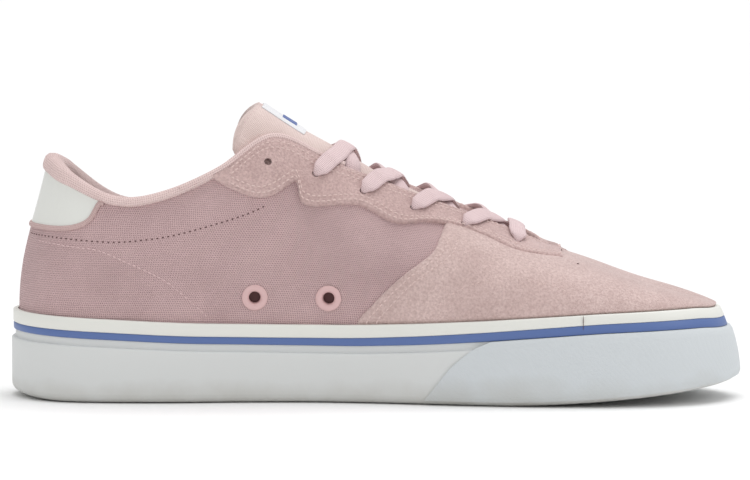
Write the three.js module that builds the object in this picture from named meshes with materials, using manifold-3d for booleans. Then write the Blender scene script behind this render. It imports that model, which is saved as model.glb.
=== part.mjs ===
// A low laced sneaker for the left foot, built as its maker builds it: a moulded sole with a raised rim,
// two rubber bands round it, a toe guard, a hollow upper, an eyestay, a heel tab, a tongue and a lace.
// Millimetres. +X points to the toe, +Y to the outer side of the foot, +Z up. The floor is z = 0.
import * as THREE from "three";
import { mergeVertices } from "three/addons/utils/BufferGeometryUtils.js";
import Module from "manifold-3d";

const wasm = await Module();
wasm.setup();

// Driving sizes of the shoe
const shoeLength = 289.5; // sole wall, heel to toe
const heelSeat = 45; // from the back of the heel to the origin
const ballWidth = 102; // sole wall across the ball of the foot
const heelWidth = 74; // sole wall across the heel
const tipSwing = 7; // toe tip, towards the inner side
const heelHeight = 92.5; // collar edge at the back
const instepHeight = 103; // collar edge at the top of the throat
const innerRaise = 5.2; // inner side of the collar above the outer side, at the ankle

// Sole
const foxingHeight = 34.3; // top of the upper band at the back of the heel
const bandHeight = 5.2; // white band
const stripeHeight = 2.7; // coloured band below it
const recessHeight = 2.9; // set-back strip between the coloured band and the wall
const heelThickness = 18; // sole floor above the ground at the heel
const ballThickness = 14; // the same at the ball of the foot
const toeSpring = 7.6;
const springStart = 195; // from the back of the heel
const heelBevel = 1.6;
const heelBevelLength = 24;
const toeLean = 8; // the wall leans back by this much at the toe tip
const bottomRound = 3.4; // rounding of the lower edge of the wall
const bandInset = 0.6; // bands stand this far inside the wall's face
const recessInset = 1.4;
const rimInset = 2.5; // inner face of the rim and of both bands
const rimGap = 0.5; // from there to the foot of the upper
const guardProud = 0.7; // toe guard beyond the wall's face
const guardThickness = 1.7;
const guardBottom = 1.6; // its lower edge above the bottom of the sole
const grooveWidth = 3;
const grooveDepth = 1.6;
const groovePitch = 16;
const forefootSpot = 131; // from the origin: a flat spot like the one under the heel
const flatSpot = 11; // half length of both flat spots
const grooveMargin = 9; // plain border round the tread
const grooveZig = 8; // travel of the zigzag
const grooveTurns = 4;

// Upper
const fitGap = 0.3; // between pieces that meet
const wall = 2.2;
const overBand = 0.7; // lower edge of the overlays above the bands
const collarPad = 5; // padding inside the top line
const collarThin = 1.2; // the same where it ends at the throat
const collarLap = 4.5; // the collar's fold over the outside
const collarFold = 1; // thickness of that fold
const vampThickness = 1.1; // suede toe piece over the side panels
const eyestayThickness = 1.2;
const heelTabThickness = 1;
const eyeletRadius = 1.5;
const eyeletCount = 6; // on each side
const eyeletInset = 9.5; // from the throat edge, along the surface
const firstEyelet = 0.352; // top and front eyelet, shares of the shoe's length at the throat edge
const lastEyelet = 0.686;
const insoleHeel = 6;
const insoleToe = 4;
const ventFlange = 5; // radius
const ventHole = 2.35; // radius
const ventRim = 0.9;

// Tongue and lace
const tongueMiddle = 6.4; // padded thickness on the centre line
const tongueEdge = 2.4;
const tongueDrop = 20; // edge of the tongue's top below its crown
const tongueTilt = 0.5; // its top edge slopes back by this share of the drop
const labelWidth = 30;
const labelLength = 20;
const labelThickness = 0.7;
const laceWidth = 7.6;
const laceThickness = 1.5;
const laceLift = 0.9; // below the strands

const upperRows = 6; // steps from the bands to the top line
const collarEnd = 6; // row where the padded collar ends, at the top of the throat
const throatEnd = 11; // row where both sides of the throat meet

// Sections of the last from heel to toe. foot: where the wall of the sole stands. head: the top line of the
// upper, first the collar, then the throat edge, then the ridge of the toe piece. along: share of the shoe's
// length. medial, lateral: half breadth as a share of the local width. up: share of the local height.
// rise, reach: how far the section runs straight from its foot and head, shares of its own height.
// steep: its slope at the head, as a tangent.
const sections = [
  { along: 0.0, medial: 0.0, lateral: 0.0, headAlong: 0.048, headMedial: 0.0, headLateral: 0.0, up: 1.0, rise: 0.36, reach: 0.42, steep: 4.6 },
  { along: 0.02, medial: 0.27, lateral: 0.27, headAlong: 0.053, headMedial: 0.145, headLateral: 0.145, up: 0.988, rise: 0.36, reach: 0.42, steep: 4.6 },
  { along: 0.07, medial: 0.439, lateral: 0.446, headAlong: 0.079, headMedial: 0.292, headLateral: 0.292, up: 0.922, rise: 0.36, reach: 0.42, steep: 4.6 },
  { along: 0.148, medial: 0.493, lateral: 0.507, headAlong: 0.143, headMedial: 0.388, headLateral: 0.39, up: 0.838, rise: 0.36, reach: 0.4, steep: 4.4 },
  { along: 0.241, medial: 0.493, lateral: 0.52, headAlong: 0.214, headMedial: 0.42, headLateral: 0.428, up: 0.848, rise: 0.36, reach: 0.36, steep: 4.0 },
  { along: 0.331, medial: 0.445, lateral: 0.51, headAlong: 0.29, headMedial: 0.39, headLateral: 0.402, up: 0.9, rise: 0.36, reach: 0.34, steep: 3.0 },
  { along: 0.421, medial: 0.399, lateral: 0.48, headAlong: 0.362, headMedial: 0.262, headLateral: 0.276, up: 1.0, rise: 0.34, reach: 0.34, steep: 1.7 },
  { along: 0.503, medial: 0.398, lateral: 0.466, headAlong: 0.434, headMedial: 0.198, headLateral: 0.21, up: 0.914, rise: 0.32, reach: 0.42, steep: 1.1 },
  { along: 0.586, medial: 0.429, lateral: 0.479, headAlong: 0.517, headMedial: 0.162, headLateral: 0.172, up: 0.823, rise: 0.32, reach: 0.46, steep: 0.8 },
  { along: 0.676, medial: 0.475, lateral: 0.505, headAlong: 0.614, headMedial: 0.135, headLateral: 0.143, up: 0.716, rise: 0.32, reach: 0.56, steep: 0.5 },
  { along: 0.752, medial: 0.49, lateral: 0.51, headAlong: 0.706, headMedial: 0.112, headLateral: 0.118, up: 0.615, rise: 0.36, reach: 0.76, steep: 0.2 },
  { along: 0.821, medial: 0.474, lateral: 0.48, headAlong: 0.73, headMedial: 0.0, headLateral: 0.0, up: 0.578, rise: 0.42, reach: 1.05, steep: 0.0 },
  { along: 0.89, medial: 0.418, lateral: 0.407, headAlong: 0.771, headMedial: 0.0, headLateral: 0.0, up: 0.538, rise: 0.42, reach: 1.2, steep: 0.0 },
  { along: 0.945, medial: 0.32, lateral: 0.288, headAlong: 0.815, headMedial: 0.0, headLateral: 0.0, up: 0.493, rise: 0.4, reach: 1.2, steep: 0.0 },
  { along: 0.984, medial: 0.182, lateral: 0.142, headAlong: 0.852, headMedial: 0.0, headLateral: 0.0, up: 0.455, rise: 0.3, reach: 1.1, steep: 0.0 },
  { along: 1.0, medial: 0.0, lateral: 0.0, headAlong: 0.883, headMedial: 0.0, headLateral: 0.0, up: 0.427, rise: 0.14, reach: 1.0, steep: 0.0 },
];
const lastRow = sections.length - 1;

// Places of the sections that are built: half rows round the heel, the collar and the toe. The loop runs along
// the lateral side (1) to the toe and back along the medial side (-1).
const straightRows = [6.5, 7.5, 8.5, 9.5];
const ribRows = Array.from({ length: 2 * lastRow + 1 }, (_, i) => i / 2).filter((r) => !straightRows.includes(r));
const steps = ribRows.length - 1;
const loopRows = [...ribRows.map((row) => [row, 1]), ...ribRows.slice(1, -1).reverse().map((row) => [row, -1])];

// Top edge of the upper band along the shoe, as a share of foxingHeight.
const foxingLine = [
  { along: 0.0, up: 1.0 },
  { along: 0.12, up: 0.962 },
  { along: 0.26, up: 0.91 },
  { along: 0.445, up: 0.892 },
  { along: 0.535, up: 0.915 },
  { along: 0.63, up: 0.959 },
  { along: 0.724, up: 1.009 },
  { along: 0.81, up: 1.055 },
  { along: 0.95, up: 1.105 },
  { along: 1.0, up: 1.07 },
];

// Crown of the tongue, from under the toe piece to its top edge. along: share of the shoe's length. up: share
// of instepHeight. half: half width as a share of ballWidth. thick: share of the padded thickness.
const tongueRows = [
  { along: 0.767, up: 0.506, half: 0.2, thick: 0.4 },
  { along: 0.708, up: 0.584, half: 0.21, thick: 0.5 },
  { along: 0.656, up: 0.662, half: 0.222, thick: 0.7 },
  { along: 0.587, up: 0.763, half: 0.234, thick: 0.85 },
  { along: 0.515, up: 0.866, half: 0.244, thick: 1.0 },
  { along: 0.457, up: 0.952, half: 0.25, thick: 1.0 },
  { along: 0.397, up: 1.05, half: 0.254, thick: 1.0 },
  { along: 0.349, up: 1.126, half: 0.25, thick: 0.9 },
  { along: 0.34, up: 1.136, half: 0.243, thick: 0.35 },
];

// Side outlines of the overlays, seen from the side. along: share of the shoe's length. up: share of instepHeight.
const vampEdge = [
  { along: 0.478, up: 0.1 },
  { along: 0.478, up: 0.31 },
  { along: 0.512, up: 0.405 },
  { along: 0.565, up: 0.515 },
  { along: 0.6, up: 0.585 },
  { along: 0.617, up: 0.66 },
  { along: 0.625, up: 0.9 },
  { along: 1.1, up: 0.9 },
  { along: 1.1, up: 0.1 },
];
const eyestayEdge = [
  { along: 0.282, up: 0.86 },
  { along: 0.318, up: 0.79 },
  { along: 0.352, up: 0.768 },
  { along: 0.378, up: 0.8 },
  { along: 0.393, up: 0.845 },
  { along: 0.397, up: 0.765 },
  { along: 0.412, up: 0.737 },
  { along: 0.478, up: 0.742 },
  { along: 0.512, up: 0.713 },
  { along: 0.54, up: 0.672 },
  { along: 0.6, up: 0.662 },
  { along: 0.64, up: 0.632 },
  { along: 0.69, up: 0.583 },
  { along: 0.73, up: 0.545 },
  { along: 0.752, up: 0.555 },
  { along: 0.762, up: 0.64 },
];
const heelTabEdge = [
  { along: -0.1, up: 0.662 },
  { along: 0.095, up: 0.658 },
  { along: 0.112, up: 0.668 },
  { along: 0.122, up: 0.7 },
  { along: 0.13, up: 0.755 },
  { along: 0.088, up: 0.785 },
  { along: 0.062, up: 0.845 },
  { along: 0.05, up: 0.872 },
  { along: -0.1, up: 0.878 },
];
const vents = [
  { along: 0.337, up: 0.4 },
  { along: 0.437, up: 0.397 },
];

const smooth = (t) => {
  const s = Math.min(1, Math.max(0, t));
  return s * s * (3 - 2 * s);
};
const mix = (a, b, t) => a + (b - a) * t;
const xAt = (along) => along * shoeLength - heelSeat;
const alongAt = (x) => (x + heelSeat) / shoeLength;
const localWidth = (along) => mix(heelWidth, ballWidth, smooth((along - 0.25) / 0.37));
const localHeight = (along) => mix(heelHeight, instepHeight, smooth((along - 0.16) / 0.2));
// Share of the collar where its inner side stands higher than its outer side.
const ankleShare = (row) => smooth(row / 3) * smooth((7.5 - row) / 2.5);

// Catmull-Rom through four neighbours.
function curve(a, b, c, d, t) {
  return 0.5 * (2 * b + (c - a) * t + (2 * a - 5 * b + 4 * c - d) * t * t + (3 * b - a - 3 * c + d) * t * t * t);
}

// A column of the table of sections at a place between rows. Half breadths change sign past both ends.
function column(name, row) {
  const odd = name === "medial" || name === "lateral" || name === "headMedial" || name === "headLateral";
  const value = (i) => {
    if (i < 0) return odd ? -sections[-i][name] : sections[-i][name];
    if (i > lastRow) return odd ? -sections[2 * lastRow - i][name] : sections[2 * lastRow - i][name];
    return sections[i][name];
  };
  const i = Math.min(Math.floor(row), lastRow - 1);
  const t = row - i;
  if (name.startsWith("head") && odd && i >= throatEnd) return 0;
  return curve(value(i - 1), value(i), value(i + 1), value(i + 2), t);
}

// A value of a short table at a share of the shoe's length.
function lineAt(table, along, from = "along", name = "up") {
  const rows = table.length;
  if (along <= table[0][from]) return table[0][name];
  if (along >= table[rows - 1][from]) return table[rows - 1][name];
  const i = table.findIndex((r) => r[from] > along) - 1;
  const t = (along - table[i][from]) / (table[i + 1][from] - table[i][from]);
  const at = (k) => table[Math.min(rows - 1, Math.max(0, k))][name];
  return curve(at(i - 1), at(i), at(i + 1), at(i + 2), t);
}

const foxingTop = (along) => foxingHeight * lineAt(foxingLine, along);
const stripeTop = (along) => foxingTop(along) - bandHeight;
const stripeBottom = (along) => stripeTop(along) - stripeHeight;
const wallTop = (along) => stripeBottom(along) - recessHeight;

// Ground side of the sole: flat, with a spring at the toe and a slight bevel at the heel.
function bottom(along) {
  const fromHeel = along * shoeLength;
  const spring = Math.max(0, (fromHeel - springStart) / (shoeLength - springStart));
  const bevel = Math.max(0, 1 - fromHeel / heelBevelLength);
  return toeSpring * spring ** 1.6 + heelBevel * bevel ** 2;
}
const soleFloor = (along) =>
  bottom(along) - heelBevel * Math.max(0, 1 - (along * shoeLength) / heelBevelLength) ** 2
  + mix(heelThickness, ballThickness, smooth((along - 0.2) / 0.45));

// The wall leans in towards its top, most at the toe tip.
function lean(along, z) {
  const height = Math.max(0, z - bottom(along)) / (foxingTop(along) - bottom(along));
  return toeLean * smooth((along - 0.5) / 0.5) ** 1.4 * height ** 2;
}

// A point of the sole's outline and its outward direction. side is 1 for lateral and -1 for medial.
function outline(row, side) {
  const name = side > 0 ? "lateral" : "medial";
  const place = (r) => {
    const clamped = r < 0 ? -r : r > lastRow ? 2 * lastRow - r : r;
    const flip = r < 0 || r > lastRow ? -1 : 1;
    const along = column("along", clamped);
    const swing = -tipSwing * smooth((along - 0.6) / 0.4) ** 2;
    const other = side > 0 ? "medial" : "lateral";
    const half = column(flip > 0 ? name : other, clamped) * localWidth(along);
    return [xAt(along), swing + flip * side * half, along];
  };
  const [x, y, along] = place(row);
  const [x0, y0] = place(row - 0.02);
  const [x1, y1] = place(row + 0.02);
  const length = Math.hypot(x1 - x0, y1 - y0);
  return { x, y, along, nx: (-side * (y1 - y0)) / length, ny: (side * (x1 - x0)) / length };
}

// A point on the outline, moved in by depth and by the wall's lean at height z.
function wallPoint(row, side, depth, z) {
  const o = outline(row, side);
  const inset = depth + lean(o.along, z);
  return new THREE.Vector3(o.x - o.nx * inset, o.y - o.ny * inset, z);
}

// Head of a section: the collar, the throat edge or the ridge.
function head(row, side) {
  const along = column("headAlong", row);
  const half = column(side > 0 ? "headLateral" : "headMedial", row) * localWidth(along);
  const swing = -tipSwing * smooth((along - 0.6) / 0.4) ** 2;
  const lower = side > 0 ? innerRaise * ankleShare(row) : 0;
  return new THREE.Vector3(xAt(along), swing + side * half, column("up", row) * localHeight(along) - lower);
}

// The points of one section of the upper, from the sole floor to the top line.
function section(row, side) {
  const o = outline(row, side);
  const along = o.along;
  const low = soleFloor(along) + fitGap;
  const high = foxingTop(along);
  const depth = rimInset + rimGap;
  const p0 = wallPoint(row, side, depth, high);
  const points = [wallPoint(row, side, depth, low), p0];
  const p3 = head(row, side);
  const height = p3.z - p0.z;
  const p1 = p0.clone().add(new THREE.Vector3(0, 0, height * column("rise", row)));
  const ahead = head(Math.min(lastRow, row + 0.05), side);
  const behind = head(Math.max(throatEnd, row - 0.05), side);
  const ridge = row > throatEnd ? (behind.z - ahead.z) / (ahead.x - behind.x) : 0;
  const down = Math.max(0, o.nx) * ridge + column("steep", row);
  const along3 = new THREE.Vector3(o.nx, o.ny, -down).normalize();
  const p2 = p3.clone().add(along3.multiplyScalar(height * column("reach", row)));
  const rib = new THREE.CubicBezierCurve3(p0, p1, p2, p3);
  const edge = overBand / rib.getLength();
  for (let i = 0; i <= upperRows; i++) points.push(rib.getPoint(mix(edge, 1, i / upperRows)));
  return points;
}

// All sections round the shoe: the lateral side from heel to toe, then the medial side back to the heel.
function lastSections() {
  const ribs = loopRows.map(([row, side]) => ({ row, side, points: section(row, side) }));
  addNormals(ribs);
  return ribs;
}

const keyOf = (p) => [p.x, p.y, p.z].map((v) => Math.round(v * 1000)).join();

// Outward directions at the points of the sections, shared where points meet on the ridge.
function addNormals(ribs) {
  const sums = new Map();
  const add = (p, n) => sums.set(keyOf(p), (sums.get(keyOf(p)) ?? new THREE.Vector3()).add(n));
  ribs.forEach((rib, i) => {
    const next = ribs[(i + 1) % ribs.length];
    for (let j = 0; j + 1 < rib.points.length; j++) {
      const [a, b, c, d] = [rib.points[j], next.points[j], next.points[j + 1], rib.points[j + 1]];
      const normal = c.clone().sub(a).cross(b.clone().sub(d)).normalize();
      [a, b, c, d].forEach((p) => add(p, normal));
    }
  });
  for (const rib of ribs) {
    rib.normals = rib.points.map((p, j) => sums.get(keyOf(p)).clone().setZ(j ? sums.get(keyOf(p)).z : 0).normalize());
  }
}

const ribs = lastSections();
const footRows = 2; // points of a section below the overlays' lower edge
const topPoint = ribs[0].points.length - 1;

// A closed mesh from a grid of points: each ring is a loop of points with the same count. Faces from the
// point turnAt on take the other diagonal, so that inner and outer faces bend alike.
function skin(rings, { closedColumns = true, skip = () => false, capEnds = false, turnAt = Infinity } = {}) {
  const count = rings[0].length;
  const positions = rings.flat().flatMap((p) => [p.x, p.y, p.z]);
  const index = [];
  const last = closedColumns ? rings.length : rings.length - 1;
  for (let i = 0; i < last; i++) {
    const k = (i + 1) % rings.length;
    for (let j = 0; j < count; j++) {
      const m = (j + 1) % count;
      if (skip(i, j)) continue;
      const [a, b, c, d] = [i * count + j, k * count + j, k * count + m, i * count + m];
      index.push(...(j < turnAt ? [a, b, c, a, c, d] : [a, b, d, b, c, d]));
    }
  }
  if (capEnds) {
    const end = (rings.length - 1) * count;
    for (const [a, b, c] of cap(rings[0])) index.push(a, b, c);
    for (const [a, b, c] of cap(rings[rings.length - 1])) index.push(end + a, end + c, end + b);
  }
  const geometry = new THREE.BufferGeometry();
  geometry.setAttribute("position", new THREE.Float32BufferAttribute(positions, 3));
  geometry.setIndex(index);
  return geometry;
}

// Triangles that close a ring of points, seen along the direction it faces.
function cap(ring) {
  const facing = new THREE.Vector3();
  ring.forEach((p, i) => facing.add(p.clone().cross(ring[(i + 1) % ring.length])));
  facing.normalize();
  const right = new THREE.Vector3(facing.y, facing.z, facing.x).cross(facing).normalize();
  const up = facing.clone().cross(right);
  const flat = ring.map((p) => new THREE.Vector2(p.dot(right), p.dot(up)));
  return THREE.ShapeUtils.triangulateShape(flat, []);
}

// A closed geometry as a solid for cutting and joining.
function solid(geometry) {
  const bare = geometry.index ? geometry.toNonIndexed() : geometry.clone();
  bare.deleteAttribute("normal");
  bare.deleteAttribute("uv");
  const merged = mergeVertices(bare, 1e-3);
  const triVerts = new Uint32Array(dropSlivers(merged.index.array));
  const vertProperties = merged.attributes.position.array;
  const made = new wasm.Manifold(new wasm.Mesh({ numProp: 3, vertProperties, triVerts }));
  if (made.volume() > 0) return made;
  for (let i = 0; i < triVerts.length; i += 3) [triVerts[i + 1], triVerts[i + 2]] = [triVerts[i + 2], triVerts[i + 1]];
  return new wasm.Manifold(new wasm.Mesh({ numProp: 3, vertProperties, triVerts }));
}

// Triangles whose corners merged are left out.
function dropSlivers(index) {
  const kept = [];
  for (let i = 0; i < index.length; i += 3) {
    const [a, b, c] = [index[i], index[i + 1], index[i + 2]];
    if (a !== b && b !== c && c !== a) kept.push(a, b, c);
  }
  return kept;
}

function geometryOf(cut) {
  const mesh = cut.getMesh();
  const positions = new Float32Array(mesh.numVert * 3);
  for (let i = 0; i < mesh.numVert; i++) {
    positions.set(mesh.vertProperties.subarray(i * mesh.numProp, i * mesh.numProp + 3), i * 3);
  }
  const geometry = new THREE.BufferGeometry();
  geometry.setAttribute("position", new THREE.BufferAttribute(positions, 3));
  geometry.setIndex(new THREE.BufferAttribute(mesh.triVerts, 1));
  return geometry;
}

// The largest of a solid's separate bodies: small offcuts of a cut are dropped.
function mainBody(cut) {
  const bodies = cut.decompose();
  return bodies.reduce((a, b) => (b.volume() > a.volume() ? b : a));
}

// True where a section and the next one meet the other side on the ridge of the toe piece.
const joined = (i) => ribs[i].row >= throatEnd && ribs[(i + 1) % ribs.length].row >= throatEnd;

// Direction up a section at its top line.
const upward = (rib) => rib.points[topPoint].clone().sub(rib.points[topPoint - 1]).normalize();

// A layer over the sections between two heights above the upper's face, from one point of a section up to
// the top line and past it by beyond.
function layer(from, to, firstPoint = 0, beyond = 0) {
  const rings = ribs.map((rib) => {
    const past = upward(rib).multiplyScalar(rib.row < throatEnd ? beyond : 0);
    const at = (j, offset) => rib.points[j].clone().addScaledVector(rib.normals[j], offset)
      .addScaledVector(past, j === topPoint ? 1 : 0);
    const ring = [];
    for (let j = firstPoint; j <= topPoint; j++) ring.push(at(j, to));
    for (let j = topPoint; j >= firstPoint; j--) ring.push(at(j, from));
    return ring;
  });
  const rows = topPoint - firstPoint;
  return solid(skin(rings, { skip: (i, j) => j === rows && joined(i), turnAt: rows }));
}

// The hollow upper: one wall with a rounded edge at the collar and throat.
function upperShell() {
  const rings = ribs.map((rib) => {
    const inner = rib.points.map((p, j) => p.clone().addScaledVector(rib.normals[j], -wall));
    const round = rib.row < throatEnd ? wall / 3 : 0;
    const crest = rib.points[topPoint].clone().lerp(inner[topPoint], 0.5).addScaledVector(upward(rib), round);
    return [...rib.points, crest, ...inner.reverse()];
  });
  const skip = (i, j) => (j === topPoint || j === topPoint + 1) && joined(i);
  return solid(skin(rings, { skip, turnAt: topPoint + 1 }));
}

// The collar's padded roll over the top line, grown by grow. It runs round the heel from throat to throat.
function collarRoll(grow = 0) {
  const half = ribRows.indexOf(collarEnd);
  const strip = [...ribs.slice(-half), ...ribs.slice(0, half + 1)];
  const lowest = footRows + Math.round(upperRows / 2) + 1;
  const rings = strip.map((rib) => {
    const upper = upward(rib);
    const top = rib.points[topPoint];
    const normal = rib.normals[topPoint];
    const at = (out, up) => top.clone().addScaledVector(normal, out).addScaledVector(upper, up);
    const fold = fitGap + collarFold + grow;
    const padding = mix(collarPad, collarThin, smooth((rib.row - collarEnd + 1.5) / 1.4));
    const pad = wall + fitGap + padding + grow;
    const ring = [at(0, -collarLap - grow), at(fold, -collarLap - grow), at(fold, -fold / 2)];
    ring.push(at(-wall / 2, fold + 0.8), at(-pad * 0.75, fold * 0.4), at(-pad, -2.5));
    for (let j = topPoint - 1; j >= lowest; j--) {
      const share = (j - lowest) / (topPoint - lowest);
      const depth = wall + fitGap + grow + mix(0.8, padding, smooth(share * 1.4));
      ring.push(rib.points[j].clone().addScaledVector(rib.normals[j], -depth));
    }
    for (let j = lowest; j < topPoint; j++) {
      ring.push(rib.points[j].clone().addScaledVector(rib.normals[j], -wall / 2));
    }
    return ring;
  });
  // Both ends at the throat are moved out by the same amount.
  const ends = [[0, 1], [rings.length - 1, rings.length - 2]];
  for (const [end, next] of ends) {
    const out = rings[end][0].clone().sub(rings[next][0]).setLength(grow);
    rings[end] = rings[end].map((p) => p.clone().add(out));
  }
  return solid(skin(rings, { closedColumns: false, capEnds: true }));
}

// A side outline cut right across the shoe. grow widens it.
function sidePrism(table, grow = 0) {
  const points = table.map((r) => new THREE.Vector2(xAt(r.along), r.up * instepHeight));
  const centre = points.reduce((sum, p) => sum.add(p), new THREE.Vector2()).divideScalar(points.length);
  const grown = points.map((p, i) => {
    const before = points[(i + points.length - 1) % points.length];
    const after = points[(i + 1) % points.length];
    const tangent = after.clone().sub(before).normalize();
    const outward = new THREE.Vector2(tangent.y, -tangent.x);
    if (THREE.ShapeUtils.isClockWise(points)) outward.negate();
    return p.clone().addScaledVector(outward, grow);
  });
  const depth = 2 * ballWidth;
  const shape = new THREE.Shape(grown.length > 2 ? grown : [centre]);
  const geometry = new THREE.ExtrudeGeometry(shape, { depth, bevelEnabled: false });
  geometry.rotateX(Math.PI / 2).translate(0, depth / 2, 0);
  return solid(geometry);
}

// A closed side outline with rounded corners, from a short table.
function rounded(table, stepsEach = 2) {
  const points = table.map((r) => new THREE.Vector3(r.along, r.up, 0));
  const loop = new THREE.CatmullRomCurve3(points, true, "centripetal");
  return loop.getPoints(table.length * stepsEach).slice(0, -1).map((p) => ({ along: p.x, up: p.y }));
}

// The same on the straight line from the sole floor to the top of the bands: the foot of the upper.
function footPoint(row, side, depth, z) {
  const along = outline(row, side).along;
  const low = wallPoint(row, side, depth, soleFloor(along));
  const high = wallPoint(row, side, depth, foxingTop(along));
  return low.clone().lerp(high, (z - low.z) / (high.z - low.z));
}

// A ring round the sole: profile gives [depth, height] pairs for a share of the shoe's length.
function soleRing(profile) {
  return solid(skin(loopRows.map(([row, side]) =>
    profile(outline(row, side).along).map(([depth, z]) => wallPoint(row, side, depth, z)))));
}

// A filled slab inside the outline: the profile runs up its side, and both ends are closed across the shoe.
function soleSlab(profile, pointAt = wallPoint) {
  const rings = loopRows.map(([row, side]) =>
    profile(outline(row, side).along).map(([depth, z]) => pointAt(row, side, depth, z)));
  const count = rings[0].length;
  const positions = rings.flat().flatMap((p) => [p.x, p.y, p.z]);
  const index = [];
  for (let i = 0; i < rings.length; i++) {
    const k = (i + 1) % rings.length;
    for (let j = 0; j + 1 < count; j++) {
      index.push(i * count + j, k * count + j, k * count + j + 1, i * count + j, k * count + j + 1, i * count + j + 1);
    }
  }
  // Both caps run from the lateral to the medial side, row by row.
  const medial = (i) => (i === 0 || i === steps ? i : rings.length - i);
  for (const [end, flip] of [[0, true], [count - 1, false]]) {
    for (let i = 0; i < steps; i++) {
      const [a, b, c, d] = [i, i + 1, medial(i + 1), medial(i)].map((r) => r * count + end);
      const triangles = [];
      if (a !== d) triangles.push([a, b, d]);
      if (b !== c) triangles.push([b, c, d]);
      for (const t of triangles) index.push(...(flip ? [t[0], t[2], t[1]] : t));
    }
  }
  const geometry = new THREE.BufferGeometry();
  geometry.setAttribute("position", new THREE.Float32BufferAttribute(positions, 3));
  geometry.setIndex(index);
  return solid(geometry);
}

// Zigzag grooves across the ground side of the sole.
function grooves() {
  const cuts = [];
  for (let x = 2 * grooveMargin; x < shoeLength - 2 * grooveMargin; x += groovePitch) {
    const reach = flatSpot + (grooveWidth + grooveZig) / 2;
    if (Math.abs(x - heelSeat) < reach || Math.abs(x - heelSeat - forefootSpot) < reach) continue;
    const row = rowAt(alongAt(x - heelSeat));
    const left = outline(row, 1).y - grooveMargin;
    const right = outline(row, -1).y + grooveMargin;
    const front = [];
    const back = [];
    for (let i = 0; i <= grooveTurns; i++) {
      const y = mix(right, left, i / grooveTurns);
      const shift = (i % 2 ? 1 : -1) * grooveZig / 2;
      front.push(new THREE.Vector2(x - heelSeat + shift + grooveWidth / 2, y));
      back.unshift(new THREE.Vector2(x - heelSeat + shift - grooveWidth / 2, y));
    }
    const depth = grooveDepth + toeSpring;
    const bar = new THREE.ExtrudeGeometry(new THREE.Shape(front.concat(back)), { depth, bevelEnabled: false });
    bar.translate(0, 0, bottom(x / shoeLength) + grooveDepth - depth);
    cuts.push(solid(bar));
  }
  return cuts;
}

// The row of the table of sections at a share of the shoe's length, at the sole or at the top line.
function rowAt(along, name = "along") {
  let low = 0;
  let high = lastRow;
  for (let i = 0; i < 30; i++) {
    const middle = (low + high) / 2;
    if (column(name, middle) < along) low = middle;
    else high = middle;
  }
  return (low + high) / 2;
}

// Toe guard: seen from the side, everything in front of a slanted line.
const guardEdge = [
  { along: 0.566, up: -0.2 },
  { along: 0.566, up: 0 },
  { along: 0.581, up: 0.075 },
  { along: 0.604, up: 0.165 },
  { along: 0.632, up: 0.237 },
  { along: 0.655, up: 0.262 },
  { along: 0.655, up: 0.7 },
  { along: 1.2, up: 0.7 },
  { along: 1.2, up: -0.2 },
];

function soleSide(along) {
  const low = bottom(along);
  return [
    [bottomRound, low],
    [bottomRound * 0.3, low + bottomRound * 0.3],
    [0, low + bottomRound],
    [0, wallTop(along) - 0.8],
    [0.7, wallTop(along)],
    [recessInset, wallTop(along)],
    [recessInset, stripeBottom(along) - fitGap],
    [rimInset, stripeBottom(along) - fitGap],
    [rimInset, soleFloor(along)],
  ];
}

function makeSole() {
  let sole = soleSlab(soleSide);
  const seat = soleRing((along) => [
    [-3, bottom(along) + guardBottom - fitGap],
    [-3, stripeBottom(along) + 3],
    [guardThickness - guardProud + fitGap, stripeBottom(along) + 3],
    [guardThickness - guardProud + fitGap, bottom(along) + guardBottom - fitGap],
  ]);
  sole = sole.subtract(seat.intersect(sidePrism(guardEdge, fitGap)));
  for (const cut of grooves()) sole = sole.subtract(cut);
  return mainBody(sole);
}

function makeGuard() {
  const ring = soleRing((along) => [
    [guardThickness - guardProud, bottom(along) + guardBottom],
    [-guardProud * 0.3, bottom(along) + guardBottom],
    [-guardProud, bottom(along) + guardBottom + 1.5],
    [-guardProud, wallTop(along)],
    [-guardProud * 0.3, stripeBottom(along) - fitGap],
    [guardThickness - guardProud, stripeBottom(along) - fitGap],
  ]);
  return mainBody(ring.intersect(sidePrism(guardEdge)));
}

const makeStripe = () => soleRing((along) => [
  [rimInset, stripeBottom(along)],
  [bandInset, stripeBottom(along)],
  [bandInset, stripeTop(along) - fitGap],
  [rimInset, stripeTop(along) - fitGap],
]);

const makeBand = () => soleRing((along) => [
  [rimInset, stripeTop(along)],
  [bandInset, stripeTop(along)],
  [bandInset, foxingTop(along) - 0.6],
  [bandInset + 0.6, foxingTop(along)],
  [rimInset, foxingTop(along)],
]);

function makeInsole() {
  const edge = rimInset + rimGap + wall + fitGap;
  const low = (along) => soleFloor(along) + fitGap;
  const high = (along) => low(along) + mix(insoleHeel, insoleToe, smooth((along - 0.2) / 0.5));
  return soleSlab((along) => [
    [edge, low(along)],
    [edge, high(along) - 0.8],
    [edge + 1.5, high(along)],
  ], footPoint);
}

// Eyelet places along the throat edge, on one side: point and direction out of the surface.
function eyelets(side) {
  const places = [];
  for (let i = 0; i < eyeletCount; i++) {
    const row = rowAt(mix(firstEyelet, lastEyelet, i / (eyeletCount - 1)), "headAlong");
    places.push({ row, side, ...onUpper(row, side, eyeletInset) });
  }
  return places;
}

// A point of the upper's face at a distance below its top line, on one section.
function onUpper(row, side, below) {
  const points = section(row, side);
  let left = below;
  let j = topPoint;
  while (j > footRows && points[j].distanceTo(points[j - 1]) < left) {
    left -= points[j].distanceTo(points[j - 1]);
    j -= 1;
  }
  const down = points[j - 1].clone().sub(points[j]).normalize();
  return { point: points[j].clone().addScaledVector(down, left), normal: faceNormal(row, side, j, down) };
}

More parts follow.
